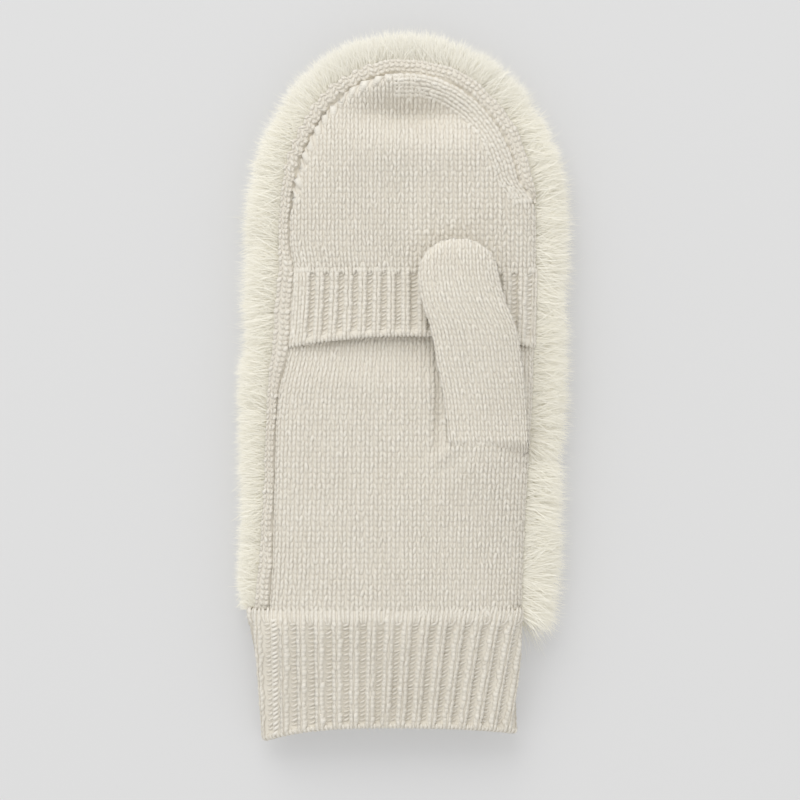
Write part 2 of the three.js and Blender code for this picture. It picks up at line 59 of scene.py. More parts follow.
# Hand, as the frame has it
HAND_LENGTH = (SEAM_TIP_Y - WRIST_Y) / MM
HAND_WIDTH = 102.0
HAND_CROWN = 9.0
HAND_BELLY = 6.0
ROUND_START = 0.7
ROUND_POWER = 2.15
ARCH_POWER = 3.0
PILE_UNDER = 15.0
EDGE_HEIGHT = PILE_UNDER + HAND_BELLY
ROUND_Y = ROUND_START * HAND_LENGTH

# Cloth
KNIT_WALL = 2.4
HIDE_WALL = 1.8
CLOTH_DEPTH = 0.85  # the backing cloth lies this far inside the outer surface
PIECE_GAP = 0.3

# Cuff, hood and seam
CUFF_LENGTH = 46.5
CUFF_THICKNESS = 16.4
CUFF_TOP_HEIGHT = 20.4
HEM_DIP_LEFT = 5.5
HEM_DIP_RIGHT = 2.4
HEM_DROOP = 1.9
HOOD_START = 104.0
HOOD_HEM_ARCH = 4.6
BAND_LENGTH = 31.5
HOOD_STEP = 4.4
HOOD_STEP_RUN = 16.0
SEAM_WIDTH = 4.8
SEAM_HEIGHT = 3.2
SEAM_END = 0.79
SEAM_FADE = 0.06

# Thumb
THUMB_BASE = 66.0
THUMB_LENGTH = 81.0
THUMB_WIDTH = 33.5
THUMB_HEIGHT = 12.0
THUMB_LEAN = 12.3
THUMB_SIDE = 0.2
THUMB_ROUND = 14.0
THUMB_ROUND_POWER = 2.2
THUMB_SQUARE = 0.8
THUMB_TIP = THUMB_BASE + THUMB_LENGTH
THUMB_ROOT = 62.0
THUMB_ROOT_SHARE = 0.22
THUMB_TOP_SHARE = 0.87
THUMB_BURIED = 4.0  # the thumb's root runs on this far below its crease, under the palm's stitches
THUMB_SINK = 3.2
THUMB_STANDOFF = 0.5
THUMB_SHOULDER = 0.93

# Stitches
WALE = 3.3
COURSE = 2.09
RIB_COURSE = 1.8
PALM_WALES = 31
BAND_PLACES = 33  # wales across the hood's ribbed band, knit and purl
THUMB_WALES = 24
CUFF_RIBS = 30

# Fur
FUR_REACH = 14.0

# The hand at shares of its length: its reach to each side in shares of its width, the height of
# its edge, its crown and the reach of its fur in shares of their full size
HAND_SECTIONS = {
    "at": [0.0, 0.2, 0.38, 0.49, 0.65, 0.85, 1.0],
    "left": [0.58, 0.546, 0.531, 0.511, 0.486, 0.486, 0.486],
    "right": [0.455, 0.473, 0.497, 0.503, 0.511, 0.511, 0.511],
    "lift": [0.93, 0.98, 1.0, 1.0, 1.0, 1.0, 1.0],
    "crown": [0.88, 0.96, 1.0, 1.0, 1.0, 0.98, 0.95],
    "fur_left": [0.52, 0.74, 0.88, 0.95, 1.06, 0.96, 0.84],
    "fur_right": [1.12, 1.1, 1.02, 1.0, 1.0, 0.96, 0.84],
}
CUFF_SECTIONS = {
    "at": [0.0, 0.25, 0.55, 1.0],
    "left": [0.594, 0.586, 0.574, 0.557],
    "right": [0.462, 0.456, 0.45, 0.441],
    "lift": [1.0, 0.89, 0.72, 0.51],
}
THUMB_SECTIONS = {
    "at": [0.0, 0.22, 0.39, 0.55, 0.69, 0.83, 1.0],
    "lean": [0.0, 0.13, 0.3, 0.48, 0.8, 0.98, 1.0],
    "width": [0.98, 0.99, 1.02, 1.03, 1.0, 0.96, 0.9],
}
# Dents and folds, a row each: place across and along, size across and along, in shares of the
# hand's width and length, turn in degrees, depth in shares of the crown
HOOD_DENTS = [
    (0.02, 0.9, 0.25, 0.034, -3, 1.15),
    (0.02, 0.972, 0.26, 0.02, 0, -0.45),
    (0.03, 0.835, 0.34, 0.045, 0, -0.22),
    (0.0, 0.6, 0.6, 0.11, 0, 0.18),
]
PALM_DENTS = [
    (0.155, 0.285, 0.07, 0.012, 35, -0.14),
    (0.128, 0.355, 0.018, 0.07, 0, 0.24),
    (0.44, 0.3, 0.05, 0.007, 0, 0.3),
    (0.31, 0.285, 0.13, 0.095, 0, -0.34),
]
# Width of the seam on the little finger side, in shares of its full width
SEAM_SECTIONS = {
    "at": [0.0, 0.08, 0.2, 0.385, 0.475, 0.61, 0.67, 0.75, 0.84, 1.0],
    "wide": [1.04, 0.98, 0.74, 0.74, 1.2, 1.16, 0.74, 0.78, 0.95, 1.0],
}


def smoothstep(low, high, value):
    share = np.clip((value - low) / (high - low), 0, 1)
    return share * share * (3 - 2 * share)


def mix(a, b, share):
    return a + (b - a) * share


def column(table, name, at):
    """A column of a table of sections as a smooth curve through its rows."""
    x = np.array(table["at"])
    v = np.array(table[name])
    at = np.clip(at, x[0], x[-1])
    row = np.clip(np.searchsorted(x, at, side="right") - 1, 0, len(x) - 2)
    ahead = np.minimum(np.arange(len(x)) + 1, len(x) - 1)
    behind = np.maximum(np.arange(len(x)) - 1, 0)
    slope = (v[ahead] - v[behind]) / (x[ahead] - x[behind])
    run = x[row + 1] - x[row]
    u = (at - x[row]) / run
    h = u * u * (3 - 2 * u)
    leave = u * (1 - u) ** 2 * run * slope[row]
    arrive = u * u * (u - 1) * run * slope[row + 1]
    return mix(v[row], v[row + 1], h) + leave + arrive


def travelled(x, y):
    """Length of a polyline up to each of its points."""
    return np.concatenate([[0], np.cumsum(np.hypot(np.diff(x), np.diff(y)))])


def even_table(x, y):
    """Share of a polyline's length at each of its points."""
    length = travelled(x, y)
    return length / length[-1]


def arch(across):
    return np.sqrt(np.clip(1 - np.abs(across) ** ARCH_POWER, 0, 1))


FINE = np.linspace(-np.pi / 2, np.pi / 2, 801)
ACROSS_FINE = np.sin(FINE)
ACROSS_SHARE = even_table(ACROSS_FINE * HAND_WIDTH / 2, HAND_CROWN * arch(ACROSS_FINE))


def across_at(share):
    """Share of the way round the palm side, 0 to 1, as a place across it from -1 to 1."""
    return np.interp(share, ACROSS_SHARE, ACROSS_FINE)


def roundness(y, tip):
    run = np.clip((y - ROUND_Y) / (tip - ROUND_Y), 0, 1)
    return (1 - run**ROUND_POWER) ** (1 / ROUND_POWER)


def seam_inset(across, at):
    full = SEAM_WIDTH + PIECE_GAP
    left = full * column(SEAM_SECTIONS, "wide", at)
    return np.where(across < 0, left, full * smoothstep(SEAM_END - SEAM_FADE, SEAM_END, at))


def hand_reach(y, across):
    at = y / HAND_LENGTH
    left = column(HAND_SECTIONS, "left", at)
    right = column(HAND_SECTIONS, "right", at)
    return np.where(across < 0, left, right) * HAND_WIDTH


def edge_height(y):
    return EDGE_HEIGHT * column(HAND_SECTIONS, "lift", y / HAND_LENGTH)


def dents(table, x, y):
    depth = np.zeros_like(x)
    for at_x, at_y, wide, long, turn, deep in table:
        c, s = math.cos(math.radians(turn)), math.sin(math.radians(turn))
        dx, dy = x - at_x * HAND_WIDTH, y - at_y * HAND_LENGTH
        u = (dx * c + dy * s) / (wide * HAND_WIDTH)
        v = (dy * c - dx * s) / (long * HAND_LENGTH)
        depth = depth + deep * HAND_CROWN * np.exp(-u * u - v * v)
    return depth


def ripple(x, y):
    """Slack of a knitted cloth that lies loose, in shares of its height."""
    a = np.sin(x * 0.083 + 1.3 + 0.6 * np.sin(y * 0.041)) * np.sin(y * 0.057 + 0.4)
    b = np.sin(x * 0.151 - y * 0.067 + 2.1) * np.sin(y * 0.113 + x * 0.05)
    return 0.6 * a + 0.4 * b


RIPPLE_HEIGHT = 0.45


def palm_side(y, across, inset, folds=(), drop=0.0):
    """A point of the palm side, inset below its outer surface and lowered between its edges."""
    y, across = np.broadcast_arrays(np.asarray(y, float), np.asarray(across, float))
    at = y / HAND_LENGTH
    tip = HAND_LENGTH - SEAM_WIDTH - PIECE_GAP - inset
    reach = hand_reach(y, across) - seam_inset(across, at) - inset
    around = roundness(y, tip)
    x = across * reach * around
    crown = HAND_CROWN * column(HAND_SECTIONS, "crown", at) - inset - drop
    swell = arch(across) * np.sqrt(around)
    no_seam = np.where(across > 0, 1 - smoothstep(SEAM_END - SEAM_FADE, SEAM_END, at), 0)
    wrap = SEAM_HEIGHT / 2 * np.abs(across) ** (2 * ARCH_POWER) * no_seam
    slack = RIPPLE_HEIGHT * ripple(x, y) - dents(folds, x, y)
    return np.stack([x, y, edge_height(y) + (crown + slack) * swell - wrap], axis=-1)


def back_side(y, across, inset, reach_more=0.0, tip_more=0.0):
    """A point of the back of the hand, inset above its outer surface."""
    y, across = np.broadcast_arrays(np.asarray(y, float), np.asarray(across, float))
    tip = HAND_LENGTH + tip_more - inset
    reach = hand_reach(y, across) + reach_more - inset
    x = across * reach * roundness(y, tip)
    rim = edge_height(y) - SEAM_HEIGHT / 2 - PIECE_GAP
    belly = HAND_BELLY - SEAM_HEIGHT / 2 - PIECE_GAP - inset
    return np.stack([x, y, rim - belly * arch(across) * np.sqrt(roundness(y, tip))], axis=-1)


# Mesh making

CLOTH_PAINTED_SHADE = 0.35  # painted shade level of the backing cloth and of the fur's inner mass, between that of the gaps and that of the crests of the yarn


class Parts:
    """Collects pieces of mesh and makes one object of them."""

    def __init__(self, name):
        self.name = name
        self.points, self.yarn, self.crest = [], [], []
        self.faces = {4: [], 3: []}
        self.looks = {4: [], 3: []}
        self.materials = []
        self.count = 0

    def add(self, points, quads=None, triangles=None, material=None, yarn=None, crest=None):
        points = points.reshape(-1, 3)
        if material not in self.materials:
            self.materials.append(material)
        for corners, faces in ((4, quads), (3, triangles)):
            if faces is not None:
                faces = faces.reshape(-1, corners)
                self.faces[corners].append(faces + self.count)
                self.looks[corners].append(np.full(len(faces), self.materials.index(material)))
        self.points.append(points)
        self.yarn.append(np.zeros((len(points), 2)) if yarn is None else yarn.reshape(-1, 2))
        self.crest.append(np.full(len(points), CLOTH_PAINTED_SHADE) if crest is None else crest.ravel())
        self.count += len(points)

    def make(self, replaces):
        points = np.concatenate(self.points) * MM + ORIGIN
        faces = [*self.faces[4], *self.faces[3]]
        corners = np.concatenate([part.ravel() for part in faces]).astype(np.int32)
        sizes = np.concatenate([np.full(len(part), part.shape[1]) for part in faces])
        starts = (np.cumsum(sizes) - sizes).astype(np.int32)
        looks = np.concatenate([*self.looks[4], *self.looks[3]]).astype(np.int32)
        mesh = bpy.data.meshes.new(self.name)
        mesh.vertices.add(len(points))
        mesh.vertices.foreach_set("co", points.ravel())
        mesh.loops.add(len(corners))
        mesh.loops.foreach_set("vertex_index", corners)
        mesh.polygons.add(len(starts))
        mesh.polygons.foreach_set("loop_start", starts)
        mesh.polygons.foreach_set("material_index", looks)
        mesh.polygons.foreach_set("use_smooth", np.ones(len(starts), bool))
        layer = mesh.uv_layers.new(name="yarn")
        layer.data.foreach_set("uv", np.concatenate(self.yarn)[corners].ravel())
        crest = mesh.attributes.new("crest", "FLOAT", "POINT")
        crest.data.foreach_set("value", np.concatenate(self.crest))
        mesh.update(calc_edges=True)
        mesh.validate()
        made = bpy.data.objects.new(self.name, mesh)
        bpy.context.collection.objects.link(made)
        for material in self.materials:
            mesh.materials.append(material)
        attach(made, "root")
        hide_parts(*replaces)
        return made


def grid_quads(rows, columns):
    i, j = np.meshgrid(np.arange(rows - 1), np.arange(columns - 1), indexing="ij")
    a = i * columns + j
    return np.stack([a, a + 1, a + 1 + columns, a + columns], axis=-1).reshape(-1, 4)


def add_wall(parts, outer, inner, material, closed_round=False):
    """A cloth wall between two grids with the same rows and columns, with its rims rounded over."""
    rows, columns = outer.shape[:2]
    quads = grid_quads(rows, columns)
    size = rows * columns
    faces = [quads, quads[:, ::-1] + size]
    edge = np.arange(columns)
    rims = [(edge, False), (edge + (rows - 1) * columns, True)]
    if not closed_round:
        side = np.arange(rows) * columns
        rims += [(side, True), (side + columns - 1, False)]
    for rim, front in rims:
        quad = np.stack([rim[:-1], rim[1:], rim[1:] + size, rim[:-1] + size], axis=-1)
        faces.append(quad if front else quad[:, ::-1])
    points = np.concatenate([outer.reshape(-1, 3), inner.reshape(-1, 3)])
    parts.add(points, quads=np.concatenate(faces), material=material)


def surface_frame(surface, u, v):
    """Points of a surface with their outward normals."""
    step = 0.05
    here = surface(u, v)
    along_u = surface(u + step, v) - surface(u - step, v)
    along_v = surface(u, v + step) - surface(u, v - step)
    normal = np.cross(along_u, along_v)
    length = np.linalg.norm(normal, axis=-1, keepdims=True)
    return here, normal / np.maximum(length, 1e-9)


RING_ANGLES = np.radians([-10, 52, 128, 190])
YARN_FLATNESS = 0.84
YARN_ROUND = 0.6  # millimetres of yarn surface to a radian, for the twist


def add_yarns(parts, surface, paths, pitch, material):
    """Half tubes of yarn laid on a surface.

    paths holds u, v, height and radius, each with a row per yarn and a column per station. u and v
    are the surface's own, and pitch is what one of each measures in millimetres.
    """
    u, v, height, radius = paths
    du, dv = np.gradient(u, axis=1) * pitch[0], np.gradient(v, axis=1) * pitch[1]
    length = np.maximum(np.hypot(du, dv), 1e-9)
    side_u, side_v = dv / length / pitch[0], -du / length / pitch[1]
    sideways = np.cos(RING_ANGLES)
    upwards = np.sin(RING_ANGLES)
    ring_u = u[..., None] + side_u[..., None] * sideways * radius[..., None]
    ring_v = v[..., None] + side_v[..., None] * sideways * radius[..., None]
    lift = height[..., None] + upwards * radius[..., None] * YARN_FLATNESS
    here, normal = surface_frame(surface, ring_u, ring_v)
    points = here + normal * lift[..., None]
    yarns, stations = u.shape
    ring = len(RING_ANGLES)
    quads = grid_quads(stations, ring)
    quads = (quads[None] + (np.arange(yarns) * stations * ring)[:, None, None]).reshape(-1, 4)
    run = np.cumsum(np.hypot(du, dv), axis=1)
    yarn_u = np.broadcast_to(run[..., None], ring_u.shape)
    yarn_v = np.broadcast_to(RING_ANGLES, ring_u.shape) * YARN_ROUND
    # painted shade: the yarn is painted darker the deeper a point lies and on its underside
    crest = np.clip(lift / (height.max() + radius.max()), 0, 1) * np.clip(upwards + 0.25, 0, 1)
    yarn = np.stack([yarn_u, yarn_v], axis=-1)
    parts.add(points, quads=quads, material=material, yarn=yarn, crest=crest)


RANDOM = np.random.default_rng(7)

# Paths of one leg of a stitch, from its foot to its head. Across is in wales from the middle of
# the stitch, along in courses, height and radius in millimetres.
LEG = {
    "along": [-0.58, -0.25, 0.11, 0.5, 0.9, 1.22],
    "across": [0.165, 0.175, 0.21, 0.265, 0.315, 0.325],
    "height": [-0.68, -0.07, 0.13, 0.13, -0.04, -0.68],
    "radius": [0.45, 0.58, 0.69, 0.69, 0.58, 0.45],
}
RIB_LEG = {
    "along": [-0.7, -0.3, 0.1, 0.5, 0.9, 1.3],
    "across": [0.2, 0.22, 0.26, 0.29, 0.31, 0.31],
    "height": [-0.5, -0.05, 0.12, 0.1, -0.08, -0.55],
    "radius": [0.52, 0.68, 0.77, 0.75, 0.68, 0.52],
}


def leg_paths(wale, course, template=LEG, size=1.0, slack=1.35, sides=(-1.0, 1.0)):
    """The legs of each stitch, given the middle of its wale and its course."""
    count = len(wale)
    side = np.repeat(np.array(sides), count)
    wale, course = np.tile(wale, len(sides)), np.tile(course, len(sides))
    loose = RANDOM.normal(0, 1, (4, len(side))) * slack
    across = np.array(template["across"])[None] * side[:, None] * (1 + 0.06 * loose[0][:, None])
    u = wale[:, None] + across + 0.025 * loose[1][:, None]
    v = course[:, None] + np.array(template["along"])[None] + 0.05 * loose[2][:, None]
    height = np.broadcast_to(template["height"], u.shape) * size + 0.05 * loose[3][:, None]
    radius = np.broadcast_to(template["radius"], u.shape) * size * (1 + 0.05 * loose[0][:, None])
    return u, v, height, radius


# Path of one purl bump, across its wale
BUMP_ACROSS = np.array([-0.5, -0.32, -0.11, 0.11, 0.32, 0.5])
BUMP_ALONG = np.array([-0.26, -0.18, -0.06, 0.08, 0.2, 0.28])
BUMP_HEIGHT = np.array([-0.6, 0.0, 0.1, 0.1, 0.0, -0.6])
BUMP_RADIUS = np.array([0.4, 0.5, 0.55, 0.55, 0.5, 0.4])


def bump_paths(wale, course, size=1.0):
    count = len(wale)
    loose = RANDOM.normal(0, 1, (3, count))
    u = wale[:, None] + BUMP_ACROSS[None]
    along = BUMP_ALONG[None] * (1 + 0.3 * loose[0][:, None])
    v = course[:, None] + along + 0.08 * loose[1][:, None]
    height = np.broadcast_to(BUMP_HEIGHT, u.shape) * size + 0.06 * loose[2][:, None]
    return u, v, height, np.broadcast_to(BUMP_RADIUS, u.shape) * size


def add_hairs(parts, root, direction, face, length, width, sag, curl, material):
    """Thin tapering hairs. Each is a ribbon of two quads and a point, its flat side to face."""
    count = len(root)
    direction = direction / np.linalg.norm(direction, axis=1, keepdims=True)
    side = np.cross(direction, face + RANDOM.normal(0, 0.3, (count, 3)))
    side /= np.maximum(np.linalg.norm(side, axis=1, keepdims=True), 1e-6)
    places = []
    for share in (0.0, 0.4, 0.75, 1.0):
        place = root + direction * (length * share)[:, None] + side * (curl * share**2)[:, None]
        place[:, 2] -= sag * share**2
        place[:, 2] = np.maximum(place[:, 2], 0.25)
        places.append(place)
    rows = []
    for place, scale in zip(places[:3], (1.0, 0.9, 0.6)):
        half = side * (width * scale / 2)[:, None]
        rows += [place - half, place + half]
    rows.append(places[3])
    points = np.stack(rows, axis=1)
    first = (np.arange(count) * 7)[:, None]
    quads = np.concatenate([first + [0, 1, 3, 2], first + [2, 3, 5, 4]])
    triangles = first + [4, 5, 6]
    # painted shade: each hair is painted darker towards its root
    crest = np.broadcast_to(np.array([0.1, 0.1, 0.5, 0.5, 0.8, 0.8, 1.0]), (count, 7))
    parts.add(points, quads=quads, triangles=triangles, material=material, crest=crest)


FUZZ_STANDOFF = 0.45
FUZZ = {"palm": 2200, "hood": 2200, "band": 900, "thumb": 1800, "cuff": 2600}


def add_fuzz(parts, surface, u_range, v_range, count, material, keep=None):
    """Loose fibres of the yarn, lying a little off the stitches."""
    u, v = RANDOM.uniform(*u_range, count), RANDOM.uniform(*v_range, count)
    if keep is not None:
        kept = keep(u, v)
        u, v = u[kept], v[kept]
    here, normal = surface_frame(surface, u, v)
    count = len(u)
    flat = RANDOM.normal(0, 1, (count, 3))
    flat -= normal * (flat * normal).sum(axis=1, keepdims=True)
    flat /= np.linalg.norm(flat, axis=1, keepdims=True)
    direction = flat + normal * RANDOM.uniform(0.05, 0.6, (count, 1))
    length = RANDOM.uniform(1.4, 3.6, count)
    width = RANDOM.uniform(0.06, 0.1, count)
    curl = length * RANDOM.normal(0, 0.3, count)
    root = here + normal * FUZZ_STANDOFF
    add_hairs(parts, root, direction, normal, length, width, 0 * length, curl, material)


def every(wales, courses):
    wale, course = np.meshgrid(wales, courses, indexing="ij")
    return wale.ravel(), course.ravel()


def add_stitches(parts, surface, pitch, material, wales, courses, *shape):
    """Knit stitches where these wales and courses cross; shape is passed on to leg_paths."""
    add_yarns(parts, surface, leg_paths(*every(wales, courses), *shape), pitch, material)


# Materials


def principled(name, roughness, sheen, sheen_roughness=0.5):
    material = bpy.data.materials.new(name)
    material.use_nodes = True
    shader = material.node_tree.nodes["Principled BSDF"]
    shader.inputs["Roughness"].default_value = roughness
    shader.inputs["Sheen Weight"].default_value = sheen
    shader.inputs["Sheen Roughness"].default_value = sheen_roughness
    shader.inputs["Specular IOR Level"].default_value = 0.15
    return material, shader


def noise(tree, scale, detail, roughness=0.5):
    """Noise in the object's own coordinates."""
    made = tree.nodes.new("ShaderNodeTexNoise")
    made.inputs["Scale"].default_value = scale
    made.inputs["Detail"].default_value = detail
    made.inputs["Roughness"].default_value = roughness
    place = tree.nodes.new("ShaderNodeTexCoord")
    tree.links.new(place.outputs["Object"], made.inputs["Vector"])
    return made.outputs["Fac"]


def add_to(tree, value, more, times):
    """A value plus another one times a number."""
    made = tree.nodes.new("ShaderNodeMath")
    made.operation = "MULTIPLY_ADD"
    tree.links.new(more, made.inputs[0])
    made.inputs[1].default_value = times
    tree.links.new(value, made.inputs[2])
    return made.outputs[0]


def ramp(tree, value, stops):
    made = tree.nodes.new("ShaderNodeValToRGB")
    places = made.color_ramp.elements
    places[0].position, places[0].color = stops[0]
    places[1].position, places[1].color = stops[-1]
    for place, tone in stops[1:-1]:
        places.new(place).color = tone
    tree.links.new(value, made.inputs["Fac"])
    return made.outputs["Color"]


def painted_depth_shade_of(tree):
    """How far out a point of the yarn or the hair lies, from the mesh, used as painted shade: the
    deeper, the darker.
    """
    made = tree.nodes.new("ShaderNodeAttribute")
    made.attribute_name = "crest"
    return made.outputs["Fac"]


def colour(r, g, b):
    """A display colour, 0 to 255, as linear light."""
    c = np.array([r, g, b]) / 255
    linear = np.where(c <= 0.04045, c / 12.92, ((c + 0.055) / 1.055) ** 2.4)
    return (*linear, 1.0)


YARN_PATCHES = {"scale": 70, "detail": 3}  # uneven dye, some 14 mm across
YARN_FIBRES = {"scale": 2600, "detail": 2, "roughness": 0.7}
YARN_TWIST = {"Scale": 0.75, "Distortion": 2.0, "Detail": 2.0}
YARN_RELIEF = 0.00018


def yarn_material(name, deep, middle, light):
    """Cashmere yarn: painted shade in the gaps between stitches and painted light on the crests, with
    fine loose fibres.
    """
    material, shader = principled(name, 1.0, 0.35, 0.6)
    tree = material.node_tree
    fibres = noise(tree, **YARN_FIBRES)
    shade = add_to(tree, painted_depth_shade_of(tree), noise(tree, **YARN_PATCHES), 0.22)
    shade = add_to(tree, shade, fibres, 0.3)
    # deep is the painted shade of the gaps, light the painted light on the crests
    tones = ramp(tree, shade, [(0.2, deep), (0.62, middle), (1.1, light)])
    tree.links.new(tones, shader.inputs["Base Color"])
    along_yarn = tree.nodes.new("ShaderNodeUVMap")
    along_yarn.uv_map = "yarn"
    twist = tree.nodes.new("ShaderNodeTexWave")
    twist.bands_direction = "DIAGONAL"
    for socket, value in YARN_TWIST.items():
        twist.inputs[socket].default_value = value
    tree.links.new(along_yarn.outputs["UV"], twist.inputs["Vector"])
    bump = tree.nodes.new("ShaderNodeBump")
    bump.inputs["Strength"].default_value = 0.5
    bump.inputs["Distance"].default_value = YARN_RELIEF
    relief = add_to(tree, twist.outputs["Fac"], fibres, 1.0)
    tree.links.new(relief, bump.inputs["Height"])
    tree.links.new(bump.outputs["Normal"], shader.inputs["Normal"])
    return material


FUR_PAINTED_GLOW = 0.06  # painted light: a faint glow that stands in for light passed on from hair to hair
FUR_PAINTED_GLOW_COLOUR = colour(246, 243, 231)
FINGERTIP_PAINTED_SHADE = (0.94, 0.942, 0.95, 1.0)  # painted shade: the fur is painted this much darker over the fingertips
FINGERTIP_FROM = 0.102  # metres along the frame's Y
FINGERTIP_TO = 0.13


def fur_material(name, root, tip):
    """Cream fur: painted shade towards the roots of its hairs, lighter at their tips, in faint
    patches; painted shade over the fingertips and a faint painted glow.
    """
    material, shader = principled(name, 0.75, 0.2)
    tree = material.node_tree
    shade = add_to(tree, painted_depth_shade_of(tree), noise(tree, 90, 2), 0.3)
    # root is the painted shade at the hairs' roots, tip the tone of their tips
    tones = ramp(tree, shade, [(0.1, root), (0.8, tip)])
    place = tree.nodes.new("ShaderNodeTexCoord")
    axes = tree.nodes.new("ShaderNodeSeparateXYZ")
    tree.links.new(place.outputs["Object"], axes.inputs["Vector"])
    # painted shade over the fingertips, growing along the frame's Y
    near_tip = tree.nodes.new("ShaderNodeMapRange")
    near_tip.inputs["From Min"].default_value = FINGERTIP_FROM
    near_tip.inputs["From Max"].default_value = FINGERTIP_TO
    tree.links.new(axes.outputs["Y"], near_tip.inputs["Value"])
    plain = (1.0, 1.0, 1.0, 1.0)
    fingertip_painted_shade = ramp(tree, near_tip.outputs["Result"], [(0.0, plain), (1.0, FINGERTIP_PAINTED_SHADE)])
    painted_shaded_tones = tree.nodes.new("ShaderNodeVectorMath")
    painted_shaded_tones.operation = "MULTIPLY"
    tree.links.new(tones, painted_shaded_tones.inputs[0])
    tree.links.new(fingertip_painted_shade, painted_shaded_tones.inputs[1])
    tree.links.new(painted_shaded_tones.outputs["Vector"], shader.inputs["Base Color"])
    # painted light: the fur and hide glow faintly
    shader.inputs["Emission Color"].default_value = FUR_PAINTED_GLOW_COLOUR
    shader.inputs["Emission Strength"].default_value = FUR_PAINTED_GLOW
    return material


# each yarn: painted shade of its gaps, its own colour, painted light on its crests
YARN = yarn_material("yarn", colour(203, 195, 181), colour(227, 221, 208), colour(239, 234, 223))
# painted light: the same yarn, painted lighter on the thumb
THUMB_YARN_PAINTED_LIGHT = yarn_material(
    "thumb_yarn_painted_light", colour(208, 200, 186), colour(233, 227, 214), colour(243, 238, 227)
)
# the same yarn with deeper painted shade in its gaps and brighter painted light on its crests, for
# the ribs
RIB_YARN_PAINTED_CONTRAST = yarn_material(
    "rib_yarn_painted_contrast", colour(200, 192, 177), colour(229, 223, 210), colour(242, 237, 226)
)
HIDE = fur_material("hide", colour(237, 232, 220), colour(240, 236, 225))
FUR = fur_material("fur", colour(238, 234, 222), colour(243, 240, 229))

# Palm

PALM_TOP = HOOD_START + 12
TUCK = (1, 7)  # past the hem, the palm sinks under the hood between these two


def palm_step(y):
    return HOOD_STEP * smoothstep(HOOD_START - HOOD_STEP_RUN, HOOD_START, y)


def palm_layer(inset):
    """The palm's own grid of wales and courses at one depth, tucked into the hood at its top."""

    def surface(u, v):
        y = v * COURSE
        tuck = HOOD_STEP * smoothstep(*TUCK, y - HOOD_START)
        drop = palm_step(y) - tuck
        return palm_side(y, across_at(u / PALM_WALES), inset + tuck, PALM_DENTS, drop)

    return surface


def sheet_grid(surface, u, v):
    return surface(*np.meshgrid(u, v))


PALM_FIRST_COURSE = -0.75  # the palm's lowest course reaches over the top of the cuff


def make_palm():
    parts = Parts("palm_knit")
    u = np.linspace(0, PALM_WALES, 63)
    v = np.linspace(0, PALM_TOP / COURSE, 60)
    outer, inner = palm_layer(CLOTH_DEPTH), palm_layer(KNIT_WALL)
    add_wall(parts, sheet_grid(outer, u, v), sheet_grid(inner, u, v), YARN)
    courses = np.arange(PALM_FIRST_COURSE, PALM_TOP / COURSE - 1)
    add_stitches(parts, outer, (WALE, COURSE), YARN, np.arange(PALM_WALES) + 0.5, courses)
    add_fuzz(parts, outer, (1, PALM_WALES - 1), (0, HOOD_START / COURSE), FUZZ["palm"], YARN)
    return parts.make(["palm"])


# Hood

HOOD_Y = HOOD_START + BAND_LENGTH
HOOD_TIP = HAND_LENGTH - SEAM_WIDTH - PIECE_GAP - CLOTH_DEPTH
BORDER_WALES = 3  # wales that follow the edge on the thumb side
BORDER_PITCH = 2.9
LOBE_DEPTH = 2.6  # width of the puckered edge on the little finger side


def cloth_reach(y, across):
    """How far the backing cloth of the palm side reaches across."""
    return hand_reach(y, across) - seam_inset(across, y / HAND_LENGTH) - CLOTH_DEPTH


def hood_surface(u, v):
    """Straight wales that keep their place across the hood up to its tip."""
    y = np.clip(HOOD_Y + v * COURSE, 0, HOOD_TIP - 0.02)
    base = across_at(u / PALM_WALES)
    there = np.minimum(y, ROUND_Y)
    reach = cloth_reach(y, base) * np.maximum(roundness(y, HOOD_TIP), 1e-3)
    across = base * cloth_reach(there, base) / reach
    return palm_side(y, np.clip(across, -1, 1), CLOTH_DEPTH, HOOD_DENTS)


def edge_place(turn, depth):
    """A place this deep inside the hood's edge; turn runs round the tip, 0 left to 1 right."""
    side = np.where(turn < 0.5, -1.0, 1.0)
    rise = np.abs(np.sin(turn * np.pi)) ** (2 / ROUND_POWER)
    y = ROUND_Y + rise * (HOOD_TIP - depth - ROUND_Y)
    x = side * (cloth_reach(y, side) - depth) * np.abs(np.cos(turn * np.pi)) ** (2 / ROUND_POWER)
    return x, y


def edge_surface(turn, depth):
    x, y = edge_place(turn, depth)
    side = np.where(turn < 0.5, -1.0, 1.0)
    across = x / (cloth_reach(y, side) * np.maximum(roundness(y, HOOD_TIP), 1e-3))
    return palm_side(y, np.clip(across, -1, 1), CLOTH_DEPTH, HOOD_DENTS)


def edge_turn(x, y):
    """How far round the tip a place lies, as for edge_place."""
    rise = np.clip((y - ROUND_Y) / (HOOD_TIP - ROUND_Y), 0, 1) ** (ROUND_POWER / 2)
    run = np.clip(np.abs(x) / hand_reach(y, x), 1e-6, None) ** (ROUND_POWER / 2)
    turn = np.arctan2(rise, run) / np.pi
    return np.where(x < 0, turn, 1 - turn)


def edge_steps(depth, low, high, step):
    """Turns that are an even step apart along the edge, with the distance of each."""
    turn = np.linspace(low, high, 600)
    x, y = edge_place(turn, depth)
    length = travelled(x, y)

    def turn_at(run):
        return np.interp(run, length, turn)

    return turn_at, length[-1] / step


def border_width(turn):
    """How far in from the edge the straight wales stop."""
    right = smoothstep(0.5, 0.58, turn) * (1 - smoothstep(0.88, 0.95, turn))
    left = smoothstep(0.02, 0.1, turn) * (1 - smoothstep(0.44, 0.5, turn))
    return right * BORDER_WALES * BORDER_PITCH * 0.93 + left * LOBE_DEPTH * 0.75


